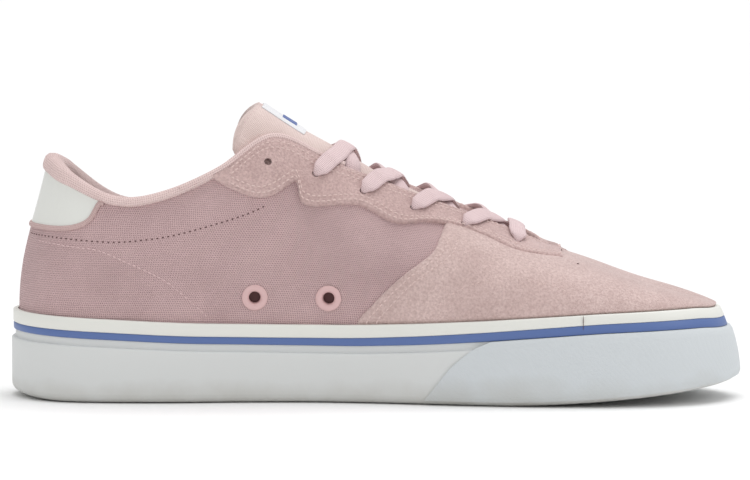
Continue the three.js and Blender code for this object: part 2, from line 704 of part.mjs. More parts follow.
// Direction out of the upper at a point of a section, where down runs down the section.
function faceNormal(row, side, j, down) {
  const step = 0.05;
  const beside = section(row + step, side)[j].clone().sub(section(row - step, side)[j]);
  const normal = beside.cross(down).normalize();
  return normal.y * side < 0 ? normal.negate() : normal;
}

// A round hole through all layers at a place on the upper.
function punch(place, radius) {
  const length = 24;
  const geometry = new THREE.CylinderGeometry(radius, radius, length, radius > eyeletRadius ? 16 : 8);
  geometry.applyQuaternion(new THREE.Quaternion().setFromUnitVectors(new THREE.Vector3(0, 1, 0), place.normal));
  geometry.translate(place.point.x, place.point.y, place.point.z);
  return solid(geometry);
}

const allEyelets = { lateral: eyelets(1), medial: eyelets(-1) };
const holes = [...allEyelets.lateral, ...allEyelets.medial].map((place) => punch(place, eyeletRadius));

// The place on the upper that is seen from the side at a share of the length and of instepHeight.
function seenAt(spot, side) {
  const x = xAt(spot.along);
  const z = spot.up * instepHeight;
  let best = null;
  for (let row = 1; row < lastRow - 1; row += 0.02) {
    const points = section(row, side);
    for (let j = footRows; j < topPoint; j++) {
      for (let t = 0; t < 1; t += 0.125) {
        const p = points[j].clone().lerp(points[j + 1], t);
        const off = Math.hypot(p.x - x, p.z - z);
        if (!best || off < best.off) best = { off, point: p, row, j, down: points[j].clone().sub(points[j + 1]) };
      }
    }
  }
  return { point: best.point, normal: faceNormal(best.row, side, best.j, best.down) };
}

const ventPlaces = vents.map((spot) => seenAt(spot, -1));

function makeVent(place) {
  const profile = [
    [ventHole, -wall - 2 * fitGap],
    [ventHole + ventRim, -wall - 2 * fitGap],
    [ventHole + ventRim, 2 * fitGap],
    [ventFlange, 2 * fitGap],
    [ventHole + ventRim, 2 * fitGap + ventRim],
    [ventHole, -wall - 2 * fitGap],
  ].map(([r, z]) => new THREE.Vector2(r, z));
  const geometry = new THREE.LatheGeometry(profile, 16);
  geometry.applyQuaternion(new THREE.Quaternion().setFromUnitVectors(new THREE.Vector3(0, 1, 0), place.normal));
  geometry.translate(place.point.x, place.point.y, place.point.z);
  return solid(geometry);
}

function makeVamp() {
  let vamp = layer(fitGap, fitGap + vampThickness, footRows).intersect(sidePrism(vampEdge));
  for (const hole of holes) vamp = vamp.subtract(hole);
  return vamp;
}

function makeUpper() {
  let upper = upperShell();
  upper = upper.subtract(layer(-heelTabThickness - fitGap, 3, 0, 1).intersect(sidePrism(rounded(heelTabEdge), fitGap)));
  for (const hole of holes) upper = upper.subtract(hole);
  for (const spot of ventPlaces) upper = upper.subtract(punch(spot, ventHole + ventRim + fitGap));
  return upper;
}

const overVamp = fitGap + vampThickness + fitGap;
const eyestayTop = overVamp + eyestayThickness;

function makeEyestay() {
  const edge = [...rounded2(eyestayEdge), { along: 0.762, up: 1.3 }, { along: 0.282, up: 1.3 }];
  let stay = layer(fitGap, eyestayTop, footRows + 2).intersect(sidePrism(edge));
  stay = stay.subtract(layer(-1, overVamp, footRows, 1).intersect(sidePrism(vampEdge, fitGap)));
  for (const hole of holes) stay = stay.subtract(hole);
  return stay.subtract(collarRoll(2 * fitGap));
}

const makeCollar = () => collarRoll().subtract(layer(-wall - fitGap, fitGap, 0, fitGap + wall / 3));

// An open side line with rounded corners.
function rounded2(table, stepsEach = 1) {
  const line = new THREE.CatmullRomCurve3(table.map((r) => new THREE.Vector3(r.along, r.up, 0)), false, "centripetal");
  return line.getPoints((table.length - 1) * stepsEach).map((p) => ({ along: p.x, up: p.y }));
}

const makeHeelTab = () =>
  layer(-heelTabThickness, 0).intersect(sidePrism(rounded(heelTabEdge))).subtract(collarRoll(2 * fitGap));

// Height of the tongue's face below its crown, at a distance from the centre line.
const topHalf = tongueRows[tongueRows.length - 2].half * ballWidth;
const tongueFall = (y) => tongueDrop * (y / topHalf) ** 2;
const crownAt = (along) => lineAt([...tongueRows].reverse(), along) * instepHeight;

// A point of the tongue's face: place is the row, from the front to the top; y is across.
function tonguePoint(place, y, swing = 0) {
  const i = Math.min(Math.floor(place), tongueRows.length - 2);
  const t = place - i;
  const along = mix(tongueRows[i].along, tongueRows[i + 1].along, t);
  const up = mix(tongueRows[i].up, tongueRows[i + 1].up, t);
  const fall = tongueFall(y);
  return new THREE.Vector3(xAt(along) - tongueTilt * fall, y + swing, up * instepHeight - fall);
}
const tongueHeight = (x, y) => crownAt(alongAt(x + tongueTilt * tongueFall(y))) - tongueFall(y);

// A piece of the tongue between two distances below its face, as a grid of rows and columns.
function tongueSheet(places, halfAt, depthAt, columns) {
  const rings = places.map((place) => {
    const half = halfAt(place);
    const ys = Array.from({ length: columns + 1 }, (_, k) => half * ((2 * k) / columns - 1));
    const points = ys.map((y) => {
      const step = 0.1;
      const low = Math.max(0, place - step);
      const high = Math.min(tongueRows.length - 1, place + step);
      const uphill = tonguePoint(high, y).sub(tonguePoint(low, y));
      const across = tonguePoint(place, y + 1).sub(tonguePoint(place, y - 1));
      const normal = uphill.cross(across).normalize();
      if (normal.z < 0) normal.negate();
      const [above, below] = depthAt(place, half ? y / half : 0);
      const face = tonguePoint(place, y);
      return [face.clone().addScaledVector(normal, above), face.clone().addScaledVector(normal, -below)];
    });
    return [...points.map((p) => p[0]), ...points.map((p) => p[1]).reverse()];
  });
  return solid(skin(rings, { closedColumns: false, capEnds: true }));
}

function rowValue(name, place) {
  const i = Math.min(Math.floor(place), tongueRows.length - 2);
  return mix(tongueRows[i][name], tongueRows[i + 1][name], place - i);
}

function makeTongue() {
  const places = tongueRows.map((_, i) => i);
  const raw = tongueSheet(
    places,
    (place) => rowValue("half", place) * ballWidth,
    (place, side) => {
      const thick = rowValue("thick", place);
      const full = mix(tongueMiddle, tongueEdge, side ** 2) * thick;
      return [-(1 - Math.min(1, thick * 1.2)), full];
    },
    10,
  );
  return raw.subtract(layer(-wall - fitGap, 14, 0, fitGap)).subtract(collarRoll(2 * fitGap));
}

// The label lies on the tongue's face, just below its top edge.
function makeLabel() {
  const top = tongueRows.length - 2.02;
  const rowLength = (tongueRows[top - 1 < 0 ? 0 : Math.floor(top) - 1].along - tongueRows[Math.floor(top)].along);
  const low = top - labelLength / Math.hypot(rowLength * shoeLength, 0.08 * instepHeight);
  const kinks = tongueRows.map((_, i) => i).filter((i) => i > low && i < top);
  const span = labelWidth / 2;
  return tongueSheet([low, ...kinks, top], () => span, () => [2 * fitGap + labelThickness, -2 * fitGap], 10);
}

// A flat strand of lace through a list of points: each has a place, and the direction out of the shoe.
function strand(path) {
  const rings = path.map((p, i) => {
    const before = path[Math.max(0, i - 1)].point;
    const after = path[Math.min(path.length - 1, i + 1)].point;
    const tangent = after.clone().sub(before).normalize();
    const wide = tangent.clone().cross(p.normal).normalize();
    const out = wide.clone().cross(tangent).normalize();
    const corner = (w, t) =>
      p.point.clone().addScaledVector(wide, (w * laceWidth) / 2).addScaledVector(out, (t * laceThickness) / 2);
    return [corner(-1, -1), corner(1, -1), corner(1, 1), corner(-1, 1)];
  });
  return solid(skin(rings, { closedColumns: false, capEnds: true }));
}

// A lace point above both the tongue and the throat edge.
function overTongue(x, y) {
  const lift = laceLift + laceThickness / 2;
  const step = 1;
  const slope = (tongueHeight(x + step, y) - tongueHeight(x - step, y)) / (2 * step);
  const side = (tongueHeight(x, y + step) - tongueHeight(x, y - step)) / (2 * step);
  const normal = new THREE.Vector3(-slope, -side, 1).normalize();
  return { point: new THREE.Vector3(x, y, tongueHeight(x, y)).addScaledVector(normal, lift), normal };
}

// A lace point over the eyestay, at a distance below the throat edge.
function overEyestay(row, side, below) {
  const spot = onUpper(row, side, below);
  const lift = eyestayTop + laceLift + laceThickness / 2;
  return { point: spot.point.clone().addScaledVector(spot.normal, lift), normal: spot.normal };
}

// One strand: over the eyestay beside its eyelet, up over the tongue, and down to the other throat edge.
function crossing(eyelet, other) {
  const side = eyelet.side;
  const start = overEyestay(eyelet.row, side, eyeletInset - eyeletRadius - 1.5);
  const near = mix(eyelet.row, other.row, 0.16);
  const edge = overEyestay(near, side, -1.2);
  const far = head(mix(eyelet.row, other.row, 0.86), -side);
  const over = [0.6, 0.3, 0, -0.3, -0.6].map((share) => {
    const t = (1 - share) / 1.6;
    return overTongue(mix(edge.point.x, far.x, t), share * Math.abs(far.y) * side);
  });
  // The strand is drawn tight from the throat edge to the crown.
  over.slice(0, 2).forEach((p, i) => {
    p.point.z = Math.max(p.point.z, mix(edge.point.z, over[2].point.z, (i + 1) / 3));
  });
  return strand([start, overEyestay(near, side, 2.5), edge, ...over]);
}

function makeCrossing(i) {
  const [near, far] = [allEyelets.medial, allEyelets.lateral];
  return crossing(near[i], far[i + 1]).add(crossing(far[i], near[i + 1]));
}

function makeBar() {
  const last = eyeletCount - 1;
  const sides = [1, -1].map((side) => {
    const row = allEyelets.lateral[last].row;
    const start = overEyestay(row, side, eyeletInset - eyeletRadius - 1.5);
    return [start, overEyestay(row, side, 1)];
  });
  const [a, b] = [sides[0][1], sides[1][1]];
  const middle = { point: a.point.clone().lerp(b.point, 0.5), normal: a.normal.clone().add(b.normal).normalize() };
  middle.point.z += 1;
  return strand([sides[0][0], a, middle, b, sides[1][0]]);
}

const shoe = new THREE.Group();

function place(name, made, color, roughness = 0.8) {
  const geometry = geometryOf(mainBody(solid(geometryOf(mainBody(made)))));
  const mesh = new THREE.Mesh(geometry, new THREE.MeshStandardMaterial({ color, roughness, metalness: 0 }));
  mesh.name = name;
  shoe.add(mesh);
}

place("outsole", makeSole(), 0xc9cccd, 0.6);
place("toe_guard", makeGuard(), 0xc3c8cb, 0.65);
place("foxing_stripe", makeStripe(), 0x4f68a0, 0.5);
place("foxing_band", makeBand(), 0xdcdfdc, 0.55);
place("insole", makeInsole(), 0xd9c6c4, 0.9);
place("upper", makeUpper(), 0xbc9e9e, 0.95);
place("vamp", makeVamp(), 0xcfb6b1, 0.95);
place("eyestay", makeEyestay(), 0xc6a9a4, 0.95);
place("collar", makeCollar(), 0xd2b0ae, 0.95);
place("heel_tab", makeHeelTab(), 0xe4e6e0, 0.35);
ventPlaces.forEach((spot, i) => place(`vent_eyelet_${i + 1}`, makeVent(spot), 0xc9a2a2, 0.4));
place("tongue", makeTongue(), 0xd8bcb8, 0.95);
place("tongue_label", makeLabel(), 0xe9e9ea, 0.8);
for (let i = 1; i + 1 < eyeletCount; i++) place(`lace_cross_${i}`, makeCrossing(i), 0xcbb3b0, 0.9);
place("lace_bar", makeBar(), 0xcbb3b0, 0.9);

export default shoe;
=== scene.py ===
import math
import bpy
import numpy as np
from mathutils import Matrix, Vector


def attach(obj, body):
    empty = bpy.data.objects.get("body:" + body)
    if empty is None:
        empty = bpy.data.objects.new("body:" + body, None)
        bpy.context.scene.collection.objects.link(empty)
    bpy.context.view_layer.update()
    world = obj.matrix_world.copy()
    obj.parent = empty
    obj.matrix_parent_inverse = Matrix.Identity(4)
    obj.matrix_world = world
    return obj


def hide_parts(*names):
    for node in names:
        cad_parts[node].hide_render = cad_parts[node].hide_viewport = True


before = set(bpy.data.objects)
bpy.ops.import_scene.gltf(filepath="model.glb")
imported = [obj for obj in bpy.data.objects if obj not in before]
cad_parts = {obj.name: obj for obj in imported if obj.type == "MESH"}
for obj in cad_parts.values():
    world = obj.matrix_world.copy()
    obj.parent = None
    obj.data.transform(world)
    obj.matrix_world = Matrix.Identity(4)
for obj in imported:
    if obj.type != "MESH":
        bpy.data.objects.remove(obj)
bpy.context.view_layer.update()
print("frame loaded")

# Sizes of the shoe, millimetres. +X to the toe, +Y to the outer side, the floor is z = 0.
shoe = {
    "length": 289.5,
    "heelSeat": 45.0,
    "ballWidth": 102.0,
    "heelWidth": 74.0,
    "tipSwing": 7.0,
    "heelHeight": 92.5,
    "instepHeight": 103.0,
    "innerRaise": 5.2,
    "foxingHeight": 34.3,
    "bandHeight": 5.2,
    "stripeHeight": 2.8,
    "toeBand": 0.75,
    "toeStripe": 1.25,
    "recessHeight": 2.9,
    "heelThickness": 18.0,
    "ballThickness": 14.0,
    "toeSpring": 7.6,
    "springStart": 195.0,
    "heelBevel": 1.6,
    "heelBevelLength": 24.0,
    "toeLean": 7.0,
    "footInset": 3.0,  # foot of the upper inside the sole wall
    "wall": 2.2,
    "collarEnd": 6.0,
    "throatEnd": 11.0,
}

# Sections of the last from heel to toe, as shares of the shoe's sizes.
sectionColumns = ("along", "medial", "lateral", "headAlong", "headMedial", "headLateral", "up", "rise",
                  "reach", "steep")
sectionRows = (
    (0.0, 0.0, 0.0, 0.051, 0.0, 0.0, 1.008, 0.4, 0.42, 4.6),
    (0.02, 0.27, 0.27, 0.056, 0.145, 0.145, 0.999, 0.4, 0.42, 4.6),
    (0.07, 0.439, 0.446, 0.081, 0.292, 0.292, 0.95, 0.38, 0.42, 4.6),
    (0.148, 0.493, 0.507, 0.143, 0.388, 0.39, 0.852, 0.36, 0.4, 4.4),
    (0.241, 0.493, 0.52, 0.214, 0.42, 0.428, 0.856, 0.36, 0.36, 4.0),
    (0.331, 0.445, 0.51, 0.29, 0.39, 0.402, 0.905, 0.36, 0.34, 3.0),
    (0.421, 0.399, 0.48, 0.362, 0.262, 0.276, 1.0, 0.34, 0.34, 1.7),
    (0.503, 0.398, 0.466, 0.434, 0.198, 0.21, 0.914, 0.32, 0.42, 1.1),
    (0.586, 0.429, 0.479, 0.517, 0.162, 0.172, 0.823, 0.32, 0.46, 0.8),
    (0.676, 0.475, 0.505, 0.614, 0.135, 0.143, 0.712, 0.32, 0.56, 0.5),
    (0.752, 0.49, 0.51, 0.706, 0.112, 0.118, 0.605, 0.36, 0.76, 0.2),
    (0.821, 0.474, 0.48, 0.73, 0.0, 0.0, 0.565, 0.42, 1.05, 0.0),
    (0.89, 0.418, 0.407, 0.771, 0.0, 0.0, 0.524, 0.42, 1.2, 0.0),
    (0.945, 0.32, 0.288, 0.815, 0.0, 0.0, 0.472, 0.4, 1.2, 0.0),
    (0.984, 0.182, 0.142, 0.852, 0.0, 0.0, 0.434, 0.3, 1.1, 0.0),
    (1.0, 0.0, 0.0, 0.883, 0.0, 0.0, 0.404, 0.14, 1.0, 0.0),
)
lastRow = len(sectionRows) - 1
oddColumns = ("medial", "lateral", "headMedial", "headLateral")
extended = {}
for index, name in enumerate(sectionColumns):
    values = [row[index] for row in sectionRows]
    sign = -1 if name in oddColumns else 1
    extended[name] = np.array([sign * values[1]] + values + [sign * values[-2]])

foxingLine = ((0.0, 1.0), (0.12, 0.962), (0.26, 0.91), (0.445, 0.892), (0.535, 0.915), (0.63, 0.959),
              (0.724, 1.009), (0.81, 1.05), (0.95, 1.075), (1.0, 1.045))


def mix(a, b, t):
    return a + (b - a) * t


def smooth(t):
    s = np.clip(t, 0, 1)
    return s * s * (3 - 2 * s)


def bell(t):
    return np.exp(-t * t)


def catmull(a, b, c, d, t):
    bend = 2 * a - 5 * b + 4 * c - d
    twist = 3 * b - a - 3 * c + d
    return 0.5 * (2 * b + (c - a) * t + bend * t ** 2 + twist * t ** 3)


def column(name, row):
    row = np.clip(row, 0, lastRow)
    i = np.minimum(np.floor(row).astype(int), lastRow - 1)
    e = extended[name]
    value = catmull(e[i], e[i + 1], e[i + 2], e[i + 3], row - i)
    if name in ("headMedial", "headLateral"):
        value = np.where(i >= shoe["throatEnd"], 0.0, value)
    return value


def lineAt(table, along):
    xs = np.array([p[0] for p in table])
    ys = np.array([p[1] for p in table])
    last = len(xs) - 1
    i = np.clip(np.searchsorted(xs, along, side="right") - 1, 0, last - 1)
    t = np.clip((along - xs[i]) / (xs[i + 1] - xs[i]), 0, 1)
    return catmull(ys[np.maximum(i - 1, 0)], ys[i], ys[i + 1], ys[np.minimum(i + 2, last)], t)


def spline(points, count, closed=False):  # evenly spaced points on a smooth line through a short table
    p = np.array(points, float)
    if closed:
        p = np.vstack([p[-1:], p, p[:2]])
    else:
        p = np.vstack([2 * p[0] - p[1], p, 2 * p[-1] - p[-2]])
    parts = []
    for i in range(1, len(p) - 2):
        t = np.linspace(0, 1, 24, endpoint=False)[:, None]
        parts.append(catmull(p[i - 1], p[i], p[i + 1], p[i + 2], t))
    line = np.vstack(parts + [p[-2:-1]])
    return resample(line, count)


def resample(line, count):
    run = np.concatenate([[0], np.cumsum(np.linalg.norm(np.diff(line, axis=0), axis=1))])
    at = np.linspace(0, run[-1], count)
    return np.stack([np.interp(at, run, line[:, k]) for k in range(line.shape[1])], axis=1)


def lineLength(line):
    return np.linalg.norm(np.diff(line, axis=0), axis=1).sum()


def xAt(along):
    return along * shoe["length"] - shoe["heelSeat"]


def localWidth(along):
    return mix(shoe["heelWidth"], shoe["ballWidth"], smooth((along - 0.25) / 0.37))


def localHeight(along):
    return mix(shoe["heelHeight"], shoe["instepHeight"], smooth((along - 0.16) / 0.2))


def foxingTop(along):
    return shoe["foxingHeight"] * lineAt(foxingLine, along)


def stripeTop(along):  # the tape gets narrower to the toe
    return foxingTop(along) - shoe["bandHeight"] * mix(1, shoe["toeBand"], smooth((along - 0.45) / 0.4))


def stripeBottom(along):
    return stripeTop(along) - shoe["stripeHeight"] * mix(1, shoe["toeStripe"], smooth((along - 0.3) / 0.4))


def wallTop(along):
    return stripeBottom(along) - shoe["recessHeight"]


def bottom(along):
    fromHeel = along * shoe["length"]
    spring = np.clip((fromHeel - shoe["springStart"]) / (shoe["length"] - shoe["springStart"]), 0, 1)
    bevel = np.clip(1 - fromHeel / shoe["heelBevelLength"], 0, 1)
    return shoe["toeSpring"] * spring ** 1.6 + shoe["heelBevel"] * bevel ** 2


def soleFloor(along):
    bevel = np.clip(1 - along * shoe["length"] / shoe["heelBevelLength"], 0, 1)
    thick = mix(shoe["heelThickness"], shoe["ballThickness"], smooth((along - 0.2) / 0.45))
    return bottom(along) - shoe["heelBevel"] * bevel ** 2 + thick


def lean(along, z):
    height = np.maximum(0, z - bottom(along)) / (foxingTop(along) - bottom(along))
    return shoe["toeLean"] * smooth((along - 0.5) / 0.5) ** 1.4 * height ** 2


# q runs from the toe (-15) along the medial side to the heel (0) and the lateral side to the toe (15)
def wrap(q):
    return (q + lastRow) % (2 * lastRow) - lastRow


def swing(along):
    return -shoe["tipSwing"] * smooth((along - 0.6) / 0.4) ** 2


def planPoint(q):
    q = wrap(q)
    row = np.abs(q)
    side = np.where(q < 0, -1, 1)
    along = column("along", row)
    half = np.where(q < 0, column("medial", row), column("lateral", row)) * localWidth(along)
    return np.stack([xAt(along), swing(along) + side * half], axis=-1), along


def outline(q):
    p, along = planPoint(q)
    d = planPoint(q + 0.02)[0] - planPoint(q - 0.02)[0]
    d /= np.maximum(np.linalg.norm(d, axis=-1, keepdims=True), 1e-9)
    return p, along, np.stack([-d[..., 1], d[..., 0]], axis=-1)


def wallPoint(q, depth, z):
    p, along, n = outline(q)
    inset = depth + lean(along, z)
    return np.stack([p[..., 0] - n[..., 0] * inset, p[..., 1] - n[..., 1] * inset, z + 0 * p[..., 0]],
                    axis=-1)


def head(q):
    q = wrap(q)
    row = np.abs(q)
    side = np.where(q < 0, -1, 1)
    along = column("headAlong", row)
    half = np.where(q < 0, column("headMedial", row), column("headLateral", row)) * localWidth(along)
    ankle = smooth((row - 1.6) / 2) * smooth((7.5 - row) / 2.5)
    z = column("up", row) * localHeight(along) - np.where(q < 0, 0, shoe["innerRaise"] * ankle)
    return np.stack([xAt(along), swing(along) + side * half, z], axis=-1)


def bareUpper(q, v):  # v is 0 at the bands' top edge, 1 at the top line and -1 at the sole floor
    q = wrap(q)
    row = np.abs(q)
    along = planPoint(q)[1]
    n = outline(q)[2]
    p0 = wallPoint(q, shoe["footInset"], foxingTop(along))
    low = wallPoint(q, shoe["footInset"], soleFloor(along) + 0.3)
    p3 = head(q)
    height = (p3[..., 2] - p0[..., 2])[..., None]
    up = np.zeros_like(p0)
    up[..., 2] = 1
    p1 = p0 + up * height * column("rise", row)[..., None]
    ahead = head(np.minimum(lastRow, row + 0.05))
    behind = head(np.maximum(shoe["throatEnd"], row - 0.05))
    ridge = np.where(row > shoe["throatEnd"],
                     (behind[..., 2] - ahead[..., 2]) / np.maximum(ahead[..., 0] - behind[..., 0], 1e-6), 0)
    down = np.maximum(0, n[..., 0]) * ridge + column("steep", row)
    out = np.concatenate([n, -down[..., None]], axis=-1)
    out /= np.linalg.norm(out, axis=-1, keepdims=True)
    p2 = p3 + out * height * column("reach", row)[..., None]
    t = np.clip(v, 0, 1)[..., None]
    s = 1 - t
    curve = s ** 3 * p0 + 3 * s * s * t * p1 + 3 * s * t * t * p2 + t ** 3 * p3
    return np.where((v < 0)[..., None], mix(p0, low, np.clip(-v, 0, 1)[..., None]), curve)


def faceNormals(surface, q, v, dq=0.03, dv=0.012):
    va = np.clip(v + dv, -1, 1)
    vb = np.clip(v - dv, -1, 1)
    along = surface(q, va) - surface(q, vb)
    around = surface(q + dq, v) - surface(q - dq, v)
    n = np.cross(along, around)
    size = np.linalg.norm(n, axis=-1, keepdims=True)
    level = np.broadcast_to(np.array([0.5, 0.0, 0.87]), n.shape)
    return np.where(size > 1e-6, n / np.maximum(size, 1e-9), level)


# Creases of the worn upper: side (-1 medial, 1 lateral, 0 both), start and end as shares of the length
# and of the instep height, half width in millimetres and depth in millimetres, negative for a trough.
creaseRows = (
    (0, 0.60, 0.40, 0.66, 0.52, 5.0, -0.9),
    (0, 0.645, 0.38, 0.70, 0.49, 5.0, 0.7),
    (0, 0.69, 0.37, 0.735, 0.47, 5.0, -0.8),
    (-1, 0.43, 0.52, 0.52, 0.44, 7.0, -0.7),
    (-1, 0.24, 0.44, 0.33, 0.56, 8.0, 0.5),
    (1, 0.42, 0.5, 0.53, 0.42, 7.0, -0.7),
    (0, 0.12, 0.5, 0.2, 0.42, 8.0, -0.6),
)


def creases(p):
    x = p[..., 0]
    z = p[..., 2]
    total = np.zeros_like(x)
    for side, a0, u0, a1, u1, width, depth in creaseRows:
        x0, z0, x1, z1 = xAt(a0), u0 * shoe["instepHeight"], xAt(a1), u1 * shoe["instepHeight"]
        dx, dz = x1 - x0, z1 - z0
        length = math.hypot(dx, dz)
        t = ((x - x0) * dx + (z - z0) * dz) / length ** 2
        off = ((x - x0) * dz - (z - z0) * dx) / length
        share = np.where(side * p[..., 1] < 0, 0, 1) if side else 1
        total += share * depth * bell(off / width) * smooth((t + 0.5) / 0.5) * smooth((1.5 - t) / 0.5)
    return total


def upperPoint(q, v, out=0.0):
    p = bareUpper(q, v)
    n = faceNormals(bareUpper, q, v)
    fade = smooth(v / 0.1) * smooth((1 - v) / 0.12)
    return p + n * (out + fade * creases(p))[..., None]


# The same surface seen from the side: from a distance from the heel and a height to q and v.
gridRows = np.arange(0, lastRow + 0.001, 0.05)
gridShares = np.arange(0, 1.001, 0.01)
sideGrids = {}


def fromSide(points, side):
    if side not in sideGrids:
        rows, parts = np.meshgrid(gridRows, gridShares, indexing="ij")
        sideGrids[side] = (rows, parts, bareUpper(rows * side + 1e-6 * side, parts))
    rows, parts, seen = sideGrids[side]
    points = np.array(points, float)
    x = points[:, 0] - shoe["heelSeat"]
    z = points[:, 1]
    start = [np.argmin((seen[..., 0] - a) ** 2 + (seen[..., 2] - b) ** 2) for a, b in zip(x, z)]
    q = rows.ravel()[start]
    v = parts.ravel()[start]
    for _ in range(7):  # closer, step by step
        here = bareUpper(q * side, v)
        dq = (bareUpper((q + 0.02) * side, v) - here) / 0.02
        dv = (bareUpper(q * side, np.clip(v + 0.01, 0, 1))
              - bareUpper(q * side, np.clip(v - 0.01, 0, 1))) / np.maximum(
            np.clip(v + 0.01, 0, 1) - np.clip(v - 0.01, 0, 1), 1e-6)[:, None]
        area = dq[:, 0] * dv[:, 2] - dq[:, 2] * dv[:, 0]
        area = np.where(np.abs(area) < 1e-3, 1e9, area)
        ex = x - here[:, 0]
        ez = z - here[:, 2]
        q = np.clip(q + np.clip((ex * dv[:, 2] - ez * dv[:, 0]) / area, -0.3, 0.3), 0.001, lastRow - 0.001)
        v = np.clip(v + np.clip((dq[:, 0] * ez - dq[:, 2] * ex) / area, -0.1, 0.1), 0, 1)
    return np.stack([q * side, v], axis=1)


def shares(table):
    return [(a * shoe["length"], u * shoe["instepHeight"]) for a, u in table]


def belowTop(q, distance):  # share of a section at a distance below its top line
    v = np.linspace(1, 0.2, 200)
    p = bareUpper(np.full_like(v, q), v)
    run = np.concatenate([[0], np.cumsum(np.linalg.norm(np.diff(p, axis=0), axis=1))])
    return float(np.interp(distance, run, v))


print("shape functions ready")


def deselect():
    if bpy.context.object and bpy.context.object.mode != "OBJECT":
        bpy.ops.object.mode_set(mode="OBJECT")
    bpy.ops.object.select_all(action="DESELECT")


def makeActive(piece):
    deselect()
    piece.select_set(True)
    bpy.context.view_layer.objects.active = piece


def evenNormals(piece, merge=None):
    makeActive(piece)
    bpy.ops.object.mode_set(mode="EDIT")
    bpy.ops.mesh.select_all(action="SELECT")
    if merge:
        bpy.ops.mesh.remove_doubles(threshold=merge)
    bpy.ops.mesh.normals_make_consistent(inside=False)
    bpy.ops.object.mode_set(mode="OBJECT")


weldGap = 0.00002  # metres
smoothBelow = 50  # degrees


def gridPiece(name, points, closedRound=False, closedRing=False, capEnds=False):
    p = points
    if closedRound:
        p = np.concatenate([p, p[:1]], axis=0)
    if closedRing:
        p = np.concatenate([p, p[:, :1]], axis=1)
    rows, cols = p.shape[:2]
    deselect()
    bpy.ops.mesh.primitive_grid_add(x_subdivisions=cols - 1, y_subdivisions=rows - 1, size=1)
    piece = bpy.context.object
    piece.name = name
    piece.data.name = name
    piece.data.vertices.foreach_set("co", (p.reshape(-1, 3) * 0.001).ravel())
    uv = piece.data.uv_layers[0]
    across = np.concatenate([np.zeros((rows, 1)),
                             np.cumsum(np.linalg.norm(np.diff(p, axis=1), axis=2), axis=1)], axis=1)
    downward = np.concatenate([np.zeros((1, cols)),
                               np.cumsum(np.linalg.norm(np.diff(p, axis=0), axis=2), axis=0)], axis=0)
    loopVerts = np.empty(len(piece.data.loops), int)
    piece.data.loops.foreach_get("vertex_index", loopVerts)
    flat = np.stack([downward.ravel(), across.ravel()], axis=1)[loopVerts] * 0.001  # metres along both ways
    uv.data.foreach_set("uv", flat.ravel())
    bpy.ops.object.mode_set(mode="EDIT")
    bpy.ops.mesh.select_all(action="SELECT")
    bpy.ops.mesh.remove_doubles(threshold=weldGap)
    if capEnds:
        bpy.ops.mesh.select_all(action="DESELECT")
        bpy.ops.mesh.select_non_manifold(extend=False, use_wire=False, use_multi_face=False,
                                         use_non_contiguous=False,
                                         use_verts=False)
        bpy.ops.mesh.fill_holes(sides=0)
    bpy.ops.mesh.select_all(action="SELECT")
    bpy.ops.mesh.normals_make_consistent(inside=False)
    bpy.ops.object.mode_set(mode="OBJECT")
    bpy.ops.object.shade_smooth_by_angle(angle=math.radians(smoothBelow))
    return piece


def joined(pieces, name):
    deselect()
    for piece in pieces:
        piece.select_set(True)
    bpy.context.view_layer.objects.active = pieces[0]
    bpy.ops.object.join()
    pieces[0].name = name
    pieces[0].data.name = name
    return pieces[0]


def cutWith(piece, tool):
    makeActive(piece)
    cut = piece.modifiers.new("cut", "BOOLEAN")
    cut.operation = "DIFFERENCE"
    cut.object = tool
    cut.solver = "EXACT"
    bpy.ops.object.modifier_apply(modifier=cut.name)


def sweep(name, path, normals, widths, heights, power=2.6, sides=12, capEnds=True):
    path = np.array(path, float)
    tangent = np.gradient(path, axis=0)
    tangent /= np.linalg.norm(tangent, axis=1, keepdims=True)
    wide = np.cross(tangent, normals)
    wide /= np.linalg.norm(wide, axis=1, keepdims=True)
    out = np.cross(wide, tangent)
    angle = np.linspace(0, 2 * math.pi, sides, endpoint=False)
    cx = np.sign(np.cos(angle)) * np.abs(np.cos(angle)) ** (2 / power)
    cy = np.sign(np.sin(angle)) * np.abs(np.sin(angle)) ** (2 / power)
    widths = np.broadcast_to(widths, len(path))
    heights = np.broadcast_to(heights, len(path))
    rings = (path[:, None] + wide[:, None] * (cx[None, :, None] * widths[:, None, None] / 2)
             + out[:, None] * (cy[None, :, None] * heights[:, None, None] / 2))
    return gridPiece(name, rings, closedRing=True, capEnds=capEnds)


# Stitches: one small rounded thread, set again and again along lines on the shoe.
stitch = {"length": 1.5, "width": 0.55, "height": 0.55, "pitch": 2.15, "sides": 6, "proud": 0.06}


def stitchRow(points, normals, length=None, pitch=None, width=None):  # places of the stitches on one line
    length = length or stitch["length"]
    pitch = pitch or stitch["pitch"]
    run = np.concatenate([[0], np.cumsum(np.linalg.norm(np.diff(points, axis=0), axis=1))])
    count = max(2, int(run[-1] / pitch))
    at = (np.arange(count) + 0.5) * run[-1] / count
    place = np.stack([np.interp(at, run, points[:, k]) for k in range(3)], axis=1)
    ahead = np.stack([np.interp(at + 0.3, run, points[:, k]) for k in range(3)], axis=1)
    back = np.stack([np.interp(at - 0.3, run, points[:, k]) for k in range(3)], axis=1)
    n = np.stack([np.interp(at, run, normals[:, k]) for k in range(3)], axis=1)
    t = ahead - back
    t /= np.linalg.norm(t, axis=1, keepdims=True)
    n -= t * (n * t).sum(axis=1, keepdims=True)
    n /= np.linalg.norm(n, axis=1, keepdims=True)
    return place, t, n, np.full(count, length), np.full(count, width or stitch["width"])


